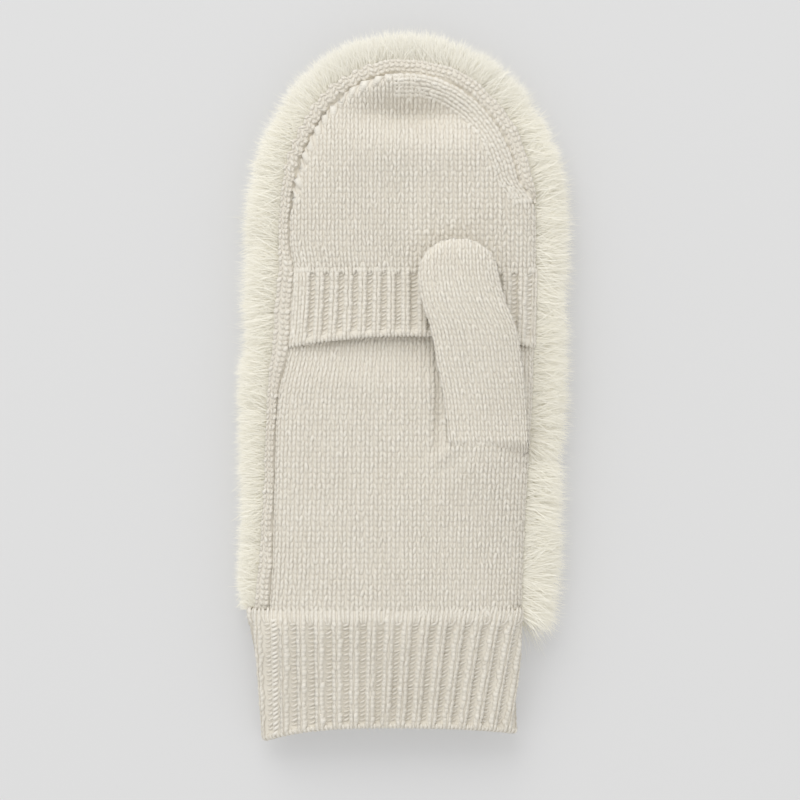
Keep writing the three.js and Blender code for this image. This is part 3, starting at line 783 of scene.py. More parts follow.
def inside_border(u, v):
    points = hood_surface(u, v)
    x, y = points[..., 0], HOOD_Y + v * COURSE
    border = border_width(edge_turn(x, y))
    run = np.clip((y - ROUND_Y) / (HOOD_TIP - border - ROUND_Y), 0, 2)
    return (np.abs(x) / (cloth_reach(y, x) - border)) ** ROUND_POWER + run**ROUND_POWER < 1.0


def add_border(parts):
    """Wales that follow the edge on the thumb side, knitted up towards the tip."""
    turn_at, courses = edge_steps(BORDER_WALES * BORDER_PITCH / 2, 0.96, 0.47, COURSE)

    def surface(u, v):
        depth = (BORDER_WALES - u) * BORDER_PITCH
        return edge_surface(turn_at(v * COURSE), depth)

    wales, rows = np.arange(BORDER_WALES) + 0.5, np.arange(courses - 1) + 0.3
    add_stitches(parts, surface, (BORDER_PITCH, COURSE), YARN, wales, rows)


LOBE_STEP = 5.2
LOBE_LENGTH = 7.6
LOBE_HEIGHT = np.array([-1.5, -0.5, 0.05, 0.3, 0.2, -1.0])
LOBE_RADIUS = np.array([0.7, 1.1, 1.5, 1.6, 1.3, 0.7])


def add_lobes(parts):
    """Smooth puckers that lie one over the next along the little finger side of the tip."""
    turn_at, count = edge_steps(LOBE_DEPTH / 2, 0.03, 0.47, LOBE_STEP)

    def surface(u, v):
        return edge_surface(turn_at(v), u)

    start = (np.arange(count - 1) + 0.3) * LOBE_STEP + RANDOM.normal(0, 0.5, int(count - 1) + 1)
    along = np.linspace(0, 1, 6)[None]
    v = start[:, None] + along * LOBE_LENGTH
    u = mix(LOBE_DEPTH + 1.2, -1.3, along) + 0.3 * RANDOM.normal(0, 1, (len(start), 1))
    size = RANDOM.uniform(0.85, 1.1, (len(start), 1))
    add_yarns(parts, surface, (u, v, size * LOBE_HEIGHT, size * LOBE_RADIUS), (1.0, 1.0), YARN)


def make_hood():
    parts = Parts("hood_knit")
    u = np.linspace(0, 1, 65)
    v = np.sin(np.linspace(0, np.pi / 2, 60))

    def sheet(inset):
        tip = HAND_LENGTH - SEAM_WIDTH - PIECE_GAP - inset
        share, along = np.meshgrid(u, v)
        return palm_side(mix(HOOD_Y, tip, along), across_at(share), inset, HOOD_DENTS)

    add_wall(parts, sheet(CLOTH_DEPTH), sheet(KNIT_WALL), YARN)
    courses = np.arange(-0.9, (HOOD_TIP - HOOD_Y) / COURSE)
    wale, course = every(np.arange(PALM_WALES) + 0.5, courses)
    keep = inside_border(wale, course + 0.5)
    add_yarns(parts, hood_surface, leg_paths(wale[keep], course[keep]), (WALE, COURSE), YARN)
    add_border(parts)
    add_lobes(parts)
    top = (HOOD_TIP - HOOD_Y) / COURSE
    wales = (1, PALM_WALES - 1)
    add_fuzz(parts, hood_surface, wales, (0, top), FUZZ["hood"], YARN, inside_border)
    return parts.make(["hood"])


# Ribbed band of the hood

BAND_COURSES = 17
BAND_KNIT_INSET = 0.35
BAND_PURL_INSET = 1.75
BAND_EDGE_PLACES = 3.14  # plain knit wales beside the little finger before the first groove
HEM_COURSES = 1.5  # height of the plain rolled edge


def rib_profile(u):
    """1 on a knit wale and 0 in a purl groove; u counts places from the start of a knit wale."""
    return smoothstep(-0.75, 0.75, np.cos((u - 0.5) * np.pi))


def band_rib(u):
    edge = 1 - smoothstep(BAND_EDGE_PLACES - 0.15, BAND_EDGE_PLACES + 0.15, u)
    return np.maximum(edge, rib_profile(u - BAND_EDGE_PLACES - 1))


HEM_ROLL = 1.15  # radius of a rolled edge


def roll_under(rows):
    """How far a rolled edge runs out and sinks, rows past the line where the roll starts."""
    angle = np.clip(rows, 0, 2) * np.pi / 2
    return HEM_ROLL * np.sin(angle), HEM_ROLL * (1 - np.cos(angle))


def band_surface(u, v):
    """u counts places from the little finger side and v courses up from the middle of the hem."""
    across = across_at(u / BAND_PLACES)
    out, sink = roll_under(1 - v)
    start = HOOD_START + HOOD_HEM_ARCH * (1 - across**2) + HEM_ROLL
    along = np.clip(v - 1, 0, BAND_COURSES) / (BAND_COURSES - 1)
    y = mix(start, HOOD_START + BAND_LENGTH, along) - out
    points = palm_side(y, across, 0.0, HOOD_DENTS)
    groove = (1 - band_rib(u)) * smoothstep(HEM_COURSES, HEM_COURSES + 0.9, v)
    groove = groove * (1 - smoothstep(BAND_COURSES - 1.6, BAND_COURSES + 0.2, v))
    inset = mix(BAND_KNIT_INSET, BAND_PURL_INSET, groove)
    points[..., 2] -= mix(inset, CLOTH_DEPTH, smoothstep(BAND_COURSES - 2.5, BAND_COURSES, v)) + sink
    return points


def make_band():
    parts = Parts("hood_rib_knit")
    u = np.linspace(0, BAND_PLACES, 4 * BAND_PLACES + 1)
    v = np.concatenate([np.linspace(-1, 1, 9)[:-1], np.linspace(1, BAND_COURSES, 31)])
    outer = sheet_grid(band_surface, u, v)
    across = across_at(u / BAND_PLACES)
    hem = HOOD_START + HOOD_HEM_ARCH * (1 - across**2) + HEM_ROLL
    up = np.clip(v - 1, 0, None)[:, None] / (BAND_COURSES - 1)
    y = mix(hem[None], HOOD_START + BAND_LENGTH, up)
    inner = palm_side(y, across[None], 0.0, HOOD_DENTS)
    inner[..., 2] -= BAND_KNIT_INSET + 2 * HEM_ROLL
    add_wall(parts, outer, inner, RIB_YARN_PAINTED_CONTRAST)
    ribs = np.arange(BAND_EDGE_PLACES + 1.5, BAND_PLACES, 2)
    knit = np.concatenate([[0.6, 1.6, 2.6], np.minimum(ribs, BAND_PLACES - 0.65)])
    pitch = (WALE * PALM_WALES / BAND_PLACES, RIB_COURSE)
    rows = np.arange(1, BAND_COURSES) + 0.1
    add_stitches(parts, band_surface, pitch, RIB_YARN_PAINTED_CONTRAST, knit, rows, RIB_LEG, 1.04)
    purl = np.arange(BAND_EDGE_PLACES + 0.5, BAND_PLACES, 2)
    wale, course = every(purl, np.arange(2, BAND_COURSES - 0.5) + 0.3)
    add_yarns(parts, band_surface, bump_paths(wale, course), pitch, RIB_YARN_PAINTED_CONTRAST)
    hem, rows = np.concatenate([knit, purl]), np.array([-0.7, 0.2])
    add_stitches(parts, band_surface, pitch, RIB_YARN_PAINTED_CONTRAST, hem, rows, RIB_LEG, 0.9, 0.7)
    places = (1, BAND_PLACES - 1)
    add_fuzz(parts, band_surface, places, (-0.5, BAND_COURSES), FUZZ["band"], RIB_YARN_PAINTED_CONTRAST)
    return parts.make(["hood_band"])


# Thumb


def hand_top(x, y):
    reach = hand_reach(y, x)
    across = np.clip(np.abs(x) / reach, 0, THUMB_SHOULDER)
    crown = HAND_CROWN * column(HAND_SECTIONS, "crown", y / HAND_LENGTH)
    return edge_height(y) + crown * arch(across)


HALF_AT_CREASE = THUMB_WIDTH * THUMB_SECTIONS["width"][0] / 2
THUMB_CENTRE = float(hand_reach(np.array(THUMB_BASE), 1)) - THUMB_SIDE - HALF_AT_CREASE


def thumb_around(y, inset):
    """Share of its width that the thumb still has where it rounds over at its tip."""
    run = np.clip((y - THUMB_TIP + THUMB_ROUND) / (THUMB_ROUND - inset), 0, 1)
    return (1 - run**THUMB_ROUND_POWER) ** (1 / THUMB_ROUND_POWER)


def thumb_point(y, turn, inset, straight_wales):
    """A point round the thumb. Straight wales keep their distance from its middle at the tip."""
    share = np.clip((y - THUMB_BASE) / THUMB_LENGTH, 0, 1)
    around = np.maximum(thumb_around(y, inset), 1e-3)
    wide = THUMB_WIDTH * column(THUMB_SECTIONS, "width", share) / 2 - inset
    from_base = y - THUMB_BASE
    grown = smoothstep(-1, THUMB_ROOT, from_base)
    full = THUMB_HEIGHT * mix(THUMB_ROOT_SHARE, THUMB_TOP_SHARE, grown)
    standoff = mix(-THUMB_SINK, THUMB_STANDOFF, smoothstep(-THUMB_BURIED, 1.5, from_base))
    middle = THUMB_CENTRE - THUMB_LEAN * column(THUMB_SECTIONS, "lean", share)
    c, s = np.cos(turn), np.sin(turn)
    across = np.sign(c) * np.abs(c) ** THUMB_SQUARE
    if straight_wales:
        across = np.clip(across / around, -1, 1)
        c = np.abs(across) ** (1 / THUMB_SQUARE)
        s = np.sign(s) * np.sqrt(np.clip(1 - c * c, 0, 1))
    x = middle + across * wide * around
    slim = np.sqrt(around)
    half = np.maximum(full / 2 * slim - inset, 0.03)
    slack = 0.25 * ripple(x * 1.7 + 9, y * 1.4) * slim * (s > 0)
    z = hand_top(x, y) + standoff + full / 2 + s * half + slack
    return np.stack([x, y, z], axis=-1)


TURN_FINE = np.linspace(-np.pi / 2, 1.5 * np.pi, 1201)
TURN_POINTS = thumb_point(np.full(len(TURN_FINE), THUMB_BASE + 40), TURN_FINE, 0.0, False)
TURN_SHARE = even_table(TURN_POINTS[:, 0], TURN_POINTS[:, 2])


def thumb_turn(u):
    """Angle round the thumb of a wale, counted from its underside."""
    return np.interp(1 - u / THUMB_WALES, TURN_SHARE, TURN_FINE)


def thumb_surface(u, v):
    y = np.minimum(THUMB_BASE + v * COURSE, THUMB_TIP - CLOTH_DEPTH)
    return thumb_point(y, thumb_turn(u), CLOTH_DEPTH, True)


def on_top(u, v):
    """Whether a place on the thumb is clear of the palm."""
    return np.sin(thumb_turn(u)) > -0.2


def make_thumb():
    parts = Parts("thumb_knit")
    turns = np.linspace(1.5 * np.pi, -0.5 * np.pi, 73)
    share = (1 - np.cos(np.linspace(0, np.pi, 60))) / 2

    def tube(inset):
        low = THUMB_BASE - THUMB_BURIED + inset - CLOTH_DEPTH
        y = mix(low, THUMB_TIP - inset, share)
        turn, along = np.meshgrid(turns, y)
        return thumb_point(along, turn, inset, False)

    add_wall(parts, tube(CLOTH_DEPTH), tube(KNIT_WALL), THUMB_YARN_PAINTED_LIGHT, closed_round=True)
    courses = int(THUMB_LENGTH / COURSE) + 1
    wale, course = every(np.arange(THUMB_WALES) + 0.5, np.arange(-1, courses) - 0.4)
    turn = thumb_turn(wale)
    y = THUMB_BASE + (course + 0.5) * COURSE
    inside = np.abs(np.cos(turn)) ** THUMB_SQUARE < thumb_around(y, 0) * 1.04
    keep = inside & (np.sin(turn) > -0.75) & (y < THUMB_TIP - 0.6)
    add_yarns(parts, thumb_surface, leg_paths(wale[keep], course[keep]), (WALE, COURSE), THUMB_YARN_PAINTED_LIGHT)
    rows = (1, (THUMB_LENGTH - THUMB_ROUND / 3) / COURSE)
    add_fuzz(parts, thumb_surface, (0, THUMB_WALES), rows, FUZZ["thumb"], THUMB_YARN_PAINTED_LIGHT, on_top)
    return parts.make(["thumb"])


# Seam


def outline_curve(inset, tip_inset, samples=1200):
    """Outline of the knitted hand in plan, from the left of the wrist round the tip to the right."""
    m = np.linspace(0, 3, samples)
    turn = np.clip(m - 1, 0, 1) * np.pi
    side = np.where(m < 1.5, -1.0, 1.0)
    straight = np.where(m < 1, m, np.where(m > 2, 3 - m, 1.0))
    rise = np.abs(np.sin(turn)) ** (2 / ROUND_POWER)
    tip = HAND_LENGTH - tip_inset
    y = straight * ROUND_Y + np.where((m >= 1) & (m <= 2), rise * (tip - ROUND_Y), 0)
    reach = hand_reach(y, side) - inset(side, y)
    x = side * reach * roundness(y, tip)
    return x, y


# Cross-section of the seam: how far in from its outer side, and how high above the edge's level.
# Its last three places are the bottom of the groove beside the knitting.
SEAM_IN = np.array([1.2, 0.4, 0.05, 0.35, 1.2, 2.6, 3.9, 4.8, 5.3, 5.8, 8.0])
SEAM_UP = np.array([-1.5, -1.0, 0.0, 0.85, 1.3, 1.45, 1.4, 1.15, 0.55, 0.2, 0.3])
SEAM_GROOVE = np.array([0, 0, 0, 0, 0, 0, 0, 0.3, 1.0, 1.0, 1.0])
SEAM_ARC = travelled(SEAM_IN, SEAM_UP)
SEAM_LEGS = (3.35, 5.2, 6.95)  # where the columns of the seam's stitches lie on that section
SEAM_STEPS = 1.5  # height of the steps in the seam beside the puckers
GROOVE_DASH = 4.6  # on the thumb side the groove comes and goes over this length
TIP_CLOSED = 8.0  # the groove is closed round this place on the tip
TIP_CLOSED_FOR = 13.0  # for this far each way


def seam_half(x, y):
    """Half the width of the seam."""
    return np.maximum((seam_inset(x, y / HAND_LENGTH) - PIECE_GAP) / 2, 0.25)


def seam_path(samples=900):
    """Middle line of the seam, from the left of the wrist round the tip to where it thins out."""
    x, y = outline_curve(seam_half, SEAM_WIDTH / 2, 2400)
    last = np.nonzero((x > 0) & (y < (SEAM_END - 0.85 * SEAM_FADE) * HAND_LENGTH))[0][0]
    x, y = x[:last], y[:last]
    share = even_table(x, y)
    even = np.linspace(0, 1, samples)
    x, y = np.interp(even, share, x), np.interp(even, share, y)
    return x, y, travelled(x, y)[-1]


SEAM_X, SEAM_Y, SEAM_LENGTH = seam_path()
SEAM_COURSES = int(SEAM_LENGTH / COURSE)


def seam_point(u, v):
    """u is millimetres round the section from the outer side, v courses along the seam."""
    share = np.clip(v / SEAM_COURSES, 0, 1)
    places = np.linspace(0, 1, len(SEAM_X))
    x, y = np.interp(share, places, SEAM_X), np.interp(share, places, SEAM_Y)
    dx = np.interp(share, places, np.gradient(SEAM_X))
    dy = np.interp(share, places, np.gradient(SEAM_Y))
    length = np.hypot(dx, dy)
    out_x, out_y = -dy / length, dx / length
    half = seam_half(x, y)
    wide = half / (SEAM_WIDTH / 2)
    thick = np.clip(wide, 0, 1) * mix(0.6, 1, smoothstep(0, 3, share * SEAM_COURSES))
    side = half - np.interp(u, SEAM_ARC, SEAM_IN) * wide
    at_tip = np.exp(-(((x - TIP_CLOSED) / TIP_CLOSED_FOR) ** 4)) * (y > 0.9 * HAND_LENGTH)
    dashes = 0.4 + 0.4 * np.sin(share * SEAM_LENGTH * 2 * np.pi / GROOVE_DASH)
    closed = np.maximum(at_tip, dashes * smoothstep(18, 30, x))
    up = np.interp(u, SEAM_ARC, SEAM_UP) * thick + np.interp(u, SEAM_ARC, SEAM_GROOVE) * closed
    wander = (0.22 * np.sin(share * 71) + 0.15 * np.sin(share * 173 + 1)) * thick
    rounding = (x < -8) * smoothstep(0.76, 0.82, y / HAND_LENGTH) * smoothstep(-8, -14, x)
    phase = share * SEAM_LENGTH / LOBE_STEP % 1.0
    wander = wander + SEAM_STEPS * rounding * (np.minimum(phase / 0.7, (1 - phase) / 0.3) - 0.5)
    z = edge_height(y) + up
    return np.stack([x + out_x * (side + wander), y + out_y * (side + wander), z], axis=-1)


SEAM_LEG = {
    "along": [-0.36, -0.15, 0.15, 0.45, 0.75, 0.98],
    "across": [-0.42, -0.36, -0.14, 0.16, 0.38, 0.42],
    "height": [-0.75, -0.2, 0.0, 0.0, -0.2, -0.75],
    "radius": [0.45, 0.7, 0.84, 0.82, 0.68, 0.45],
}


def make_seam():
    parts = Parts("edge_seam_knit")
    u = np.linspace(0, SEAM_ARC[-1], 22)
    v = np.linspace(0, SEAM_COURSES, 420)
    outer = sheet_grid(seam_point, u, v)
    under = outer[:, [0, -1]] - np.array([0, 0, 0.4])
    parts.add(outer, quads=grid_quads(*outer.shape[:2]), material=YARN)
    parts.add(under, quads=grid_quads(*under.shape[:2])[:, ::-1], material=YARN)
    for column_at, way in zip(SEAM_LEGS, (1.0, -1.0, 1.0)):
        wales, rows = np.array([column_at]), np.arange(SEAM_COURSES - 1) + 0.3
        shape = (SEAM_LEG, 0.9, 1.9, (way,))
        add_stitches(parts, seam_point, (1.0, COURSE), YARN, wales, rows, *shape)
    return parts.make(["edge_seam"])


# Cuff

CUFF_BACK_SHIFT = 4.4  # the back layer shows this far past the front one, on the left
CUFF_BACK_RUN = 0.78


def wrist_top(x):
    """Height of the hand's upper surface at the wrist line, knitting and seam."""
    reach = hand_reach(0 * x, x)
    across = np.clip(np.abs(x) / (reach - seam_inset(x, 0 * x)), 0, 1)
    knit = HAND_CROWN * HAND_SECTIONS["crown"][0] * arch(across)
    seam = np.where(x < 0, SEAM_HEIGHT / 2 + 0.4, 0)
    return edge_height(0 * x) + np.maximum(knit, seam)


CUFF_BLEND = 9.0  # the cuff takes the hand's own shape over this length at the wrist
CUFF_SQUARE = 0.62


def cuff_point(along, turn, inset):
    left = -column(CUFF_SECTIONS, "left", along) * HAND_WIDTH
    right = column(CUFF_SECTIONS, "right", along) * HAND_WIDTH
    half = (right - left) / 2 - inset
    high = CUFF_THICKNESS / 2 - inset
    c, s = np.cos(turn), np.sin(turn)
    across = np.sign(c) * np.abs(c) ** CUFF_SQUARE
    x = (left + right) / 2 + across * half
    dip = np.where(across < 0, HEM_DIP_LEFT, HEM_DIP_RIGHT) * np.abs(across) ** 3
    droop = np.where(across < 0, HEM_DROOP * across**4 * along**2, 0)
    lift = CUFF_TOP_HEIGHT * column(CUFF_SECTIONS, "lift", along) - droop
    lift = np.maximum(lift, CUFF_THICKNESS / 2)
    y = -PIECE_GAP - along * (CUFF_LENGTH + dip * along)
    slack = 0.3 * ripple(x * 1.3, y * 1.7 + 30) * np.clip(s * 3, -1, 1)
    z = lift + s * high + slack
    near = (1 - smoothstep(-2, CUFF_BLEND, -y)) * smoothstep(0.1, 0.7, s)
    z = mix(z, wrist_top(x) - inset, near)
    under = np.clip(-c, 0, 1) ** 2 * np.clip(-s * 3, 0, 1)
    x = x - CUFF_BACK_SHIFT * under * np.clip(1 - along / CUFF_BACK_RUN, 0, 1)
    return np.stack([x, y, z], axis=-1)


CUFF_TURNS = np.linspace(0, 2 * np.pi, 2401)
CUFF_POINTS = cuff_point(np.full(2401, 0.5), CUFF_TURNS, 0.0)
CUFF_SHARE = even_table(CUFF_POINTS[:, 0], CUFF_POINTS[:, 2])
CUFF_ROUND = travelled(CUFF_POINTS[:, 0], CUFF_POINTS[:, 2])[-1]
CUFF_COURSES = 27
# Places of the cuff's side seam: an edge wale, a groove with holes and a column of slanted bars
STRIP_PLACES = 3.1
CUFF_PLACES = 2 * CUFF_RIBS + STRIP_PLACES
CUFF_TWIST = 2.3  # places that the ribs lean by at the hem, most on the right
CUFF_FIRST_PLACE = 0.491  # share of the way round where the side seam starts
CUFF_LEFT_TWIST = 0.95  # places that the ribs beside the seam lean the other way


def cuff_turn(u, v):
    """Places run round the cuff from its side seam over the palm side to the right."""
    around = u / CUFF_PLACES
    lean = np.clip((around - 0.08) / 0.42, 0, 1) * np.clip((1 - around) / 0.5, 0, 1)
    beside = ((around - STRIP_PLACES / CUFF_PLACES + 0.5) % 1.0 - 0.5) * CUFF_PLACES / 5
    lean = CUFF_TWIST * lean + CUFF_LEFT_TWIST * np.exp(-beside * beside)
    twist = lean / CUFF_PLACES * (v / CUFF_COURSES)
    share = (CUFF_FIRST_PLACE - around + twist) % 1.0
    return np.interp(share, CUFF_SHARE, CUFF_TURNS)


def cuff_rise(u):
    """1 where the cloth stands up and 0 in a groove."""
    rib = rib_profile(u - STRIP_PLACES)
    edge = 1 - smoothstep(0.85, 1.2, u)
    bars = smoothstep(1.75, 2.1, u)
    return np.where(u < STRIP_PLACES, np.maximum(edge, bars * 0.8), rib)


PLAIN_COURSES = 1.8  # plain rows under the hand before the ribs start
HEM_LINE = CUFF_COURSES - 1  # the hem starts to roll under at this course
CUFF_KNIT_INSET = 0.7
CUFF_PURL_INSET = 2.35
EDGE_WALE, HOLES, BARS_AT = 0.45, 1.48, 2.52  # the side seam's three columns


def cuff_surface(u, v):
    """u counts places round the cuff and v courses down from the wrist."""
    out, sink = roll_under(v - HEM_LINE)
    along = np.minimum(v, HEM_LINE) / CUFF_COURSES + out / CUFF_LENGTH
    groove = (1 - cuff_rise(u)) * smoothstep(PLAIN_COURSES - 0.8, PLAIN_COURSES + 2.6, v)
    groove = groove * (1 - smoothstep(HEM_LINE - 0.8, HEM_LINE, v))
    inset = mix(CUFF_KNIT_INSET, CUFF_PURL_INSET, groove) + sink
    return cuff_point(along, cuff_turn(u, v), inset)


def cuff_lining(u, v):
    along = np.minimum(v, HEM_LINE) / CUFF_COURSES
    return cuff_point(along, cuff_turn(u, v), KNIT_WALL + 0.65)


def cuff_upwards(u, v):
    """The cuff's surface with its courses running up from the hem, so that it faces out."""
    return cuff_surface(u, CUFF_COURSES - v)


BAR_REACH = 0.5
BAR_LEAN = 0.42
BAR_HEIGHT = np.array([-0.6, 0.02, 0.2, 0.24, 0.1, -0.5])
BAR_RADIUS = np.array([0.45, 0.62, 0.68, 0.68, 0.62, 0.45])


def bar_paths(middle, courses):
    """Slanted bars of a side seam, one over the next."""
    courses = courses[:, None]
    across = np.linspace(-1, 1, 6)[None] + 0 * courses
    u = middle + across * BAR_REACH + RANDOM.normal(0, 0.03, courses.shape)
    v = courses + across * BAR_LEAN + RANDOM.normal(0, 0.1, courses.shape)
    return u, v, np.broadcast_to(BAR_HEIGHT, u.shape), np.broadcast_to(BAR_RADIUS, u.shape)


def make_cuff():
    parts = Parts("cuff_knit")
    u = np.linspace(0, CUFF_PLACES, int(CUFF_PLACES * 5) + 1)
    rolled = np.linspace(CUFF_COURSES + 1, HEM_LINE, 9)[:-1]
    v = np.concatenate([rolled, np.linspace(HEM_LINE, -0.4, 50)])
    outer, inner = sheet_grid(cuff_surface, u, v), sheet_grid(cuff_lining, u, v)
    add_wall(parts, outer, inner, RIB_YARN_PAINTED_CONTRAST, closed_round=True)
    pitch = (CUFF_ROUND / CUFF_PLACES, RIB_COURSE)
    top = CUFF_COURSES - PLAIN_COURSES
    ribs = STRIP_PLACES + np.arange(CUFF_RIBS) * 2
    courses = np.arange(1.15, top)
    knit = np.concatenate([[EDGE_WALE], ribs + 0.5])
    add_stitches(parts, cuff_upwards, pitch, RIB_YARN_PAINTED_CONTRAST, knit, courses, RIB_LEG)
    wale, course = every(np.concatenate([[HOLES], ribs + 1.5]), courses[1:-1] + 0.2)
    add_yarns(parts, cuff_upwards, bump_paths(wale, course), pitch, RIB_YARN_PAINTED_CONTRAST)
    add_yarns(parts, cuff_upwards, bar_paths(BARS_AT, courses), pitch, RIB_YARN_PAINTED_CONTRAST)
    plain = np.concatenate([np.arange(-0.7, 1), np.arange(top - 0.35, CUFF_COURSES + 0.2)])
    everywhere = np.concatenate([[EDGE_WALE, 1.5, 2.5], ribs + 0.5, ribs + 1.5])
    add_stitches(parts, cuff_upwards, pitch, RIB_YARN_PAINTED_CONTRAST, everywhere, plain, RIB_LEG, 0.84, 0.7)
    places = (0.5, CUFF_PLACES - 0.5)
    add_fuzz(parts, cuff_upwards, places, (0, CUFF_COURSES), FUZZ["cuff"], RIB_YARN_PAINTED_CONTRAST)
    return parts.make(["cuff"])


# Fur


def fur_reach(y, side):
    at = y / HAND_LENGTH
    left = column(HAND_SECTIONS, "fur_left", at)
    right = column(HAND_SECTIONS, "fur_right", at)
    return FUR_REACH * np.where(side < 0, left, right)


CUSHION_SHARE = 0.54  # share of the fur's reach that its dense inner mass fills
CUSHION_SINK = 1.6
FUR_START = 1.5
END_ROUND = 9.0  # the dense fur is rounded over this length at the wrist


def make_fur_mass():
    """Skin of the back of the hand and the dense inner mass of the fur."""
    parts = Parts("fur_mass")
    u = np.linspace(0, 1, 41)
    v = np.sin(np.linspace(0, np.pi / 2, 50))
    share, along = np.meshgrid(u, v)

    def skin(inset):
        return back_side(mix(0, HAND_LENGTH - 1 - inset, along), across_at(share), inset, -1, -1)

    add_wall(parts, skin(HIDE_WALL), skin(0.9), HIDE)
    tip_more = float(fur_reach(HAND_LENGTH, 1)) * CUSHION_SHARE
    rows = mix(FUR_START, HAND_LENGTH + tip_more, v)
    turns = np.linspace(0, 2 * np.pi, 73)
    turn, y = np.meshgrid(turns, rows)
    c, s = np.cos(turn), np.sin(turn)
    across = np.sign(c) * np.abs(c) ** 0.7
    side = np.where(across < 0, -1.0, 1.0)
    reach = fur_reach(y, side) * CUSHION_SHARE
    edge = back_side(y, side, 0, reach, tip_more)[..., 0]
    around = np.sqrt(roundness(y, HAND_LENGTH + tip_more))
    end = np.sqrt(1 - np.clip(1 - (y - FUR_START) / END_ROUND, 0, 1) ** 2)
    shape = np.sign(s) * np.abs(s) ** 0.8 * around * mix(0.55, 1, end)
    top = edge_height(y) - SEAM_HEIGHT / 2 - 2 * PIECE_GAP
    z = mix(-CUSHION_SINK, top, 0.5 + 0.5 * shape)
    lumps = 0.7 * np.sin(y * 0.9 + across * 3) * np.sin(across * 19 + y * 0.31)
    under_skin = np.clip(edge * np.abs(across) / np.maximum(hand_reach(y, side), 1), -1, 1)
    bowl = back_side(y, under_skin, 0)[..., 2]
    x = edge * np.abs(across) * mix(0.9, 1, end)
    inside = np.abs(x) < hand_reach(y, side) * roundness(y, HAND_LENGTH)
    z = np.where((s > 0) & inside, np.minimum(z, bowl - 0.2), z)
    z = np.clip(z + lumps * (s < 0.3), 0.9, None)
    mass = np.stack([x + lumps * 0.6 * np.sign(across), y, z], axis=-1)[:, ::-1]
    parts.add(mass, quads=grid_quads(*mass.shape[:2]), material=HIDE)
    cap = mass[0]
    fan = np.concatenate([cap, cap.mean(axis=0)[None]])
    a = np.arange(len(cap) - 1)
    parts.add(fan, triangles=np.stack([a + 1, a, np.full_like(a, len(cap))], axis=-1), material=HIDE)
    return parts.make(["fur_back"])


def no_inset(x, y):
    return 0 * y


OUTLINE_X, OUTLINE_Y = outline_curve(no_inset, 0.0, 3000)
OUTLINE_SHARE = even_table(OUTLINE_X, OUTLINE_Y)


def outline_at(share):
    """A place on the outline, the way out from it and the way on along it."""

    def place(there):
        return np.stack([np.interp(there, OUTLINE_SHARE, line) for line in (OUTLINE_X, OUTLINE_Y)])

    step = 0.002
    on = place(np.clip(share + step, 0, 1)) - place(np.clip(share - step, 0, 1))
    on_x, on_y = on / np.hypot(*on)
    return *place(share), -on_y, on_x, on_x, on_y


COMB = 0.75  # how far the fur of the sides leans towards the wrist
COMBED_LENGTH = 1.45
TIP_SHARE = 0.51
HAIR_ROOTS = (0.6, 3.4)  # how far inside the outline the hairs start
HAIRS_TO_A_LOCK = 12
LOCK_SPREAD = 0.0032
SWAY = 0.24
COMBED_FROM, COMBED_TO = 0.22, 0.36  # the fur is combed from here down, in shares of its depth
WRIST_FUR = (4, 26)  # beside the cuff the fur leans over it
FINE_HAIR = (0.1, 0.17)
COARSE_HAIR = (0.2, 0.34)
HALO_HAIRS = 75000
UNDER_HAIRS = 12000
HALO_PIECES = {"fur_left": (0.0, 0.36), "fur_tip": (0.36, 0.66), "fur_right": (0.66, 1.0)}


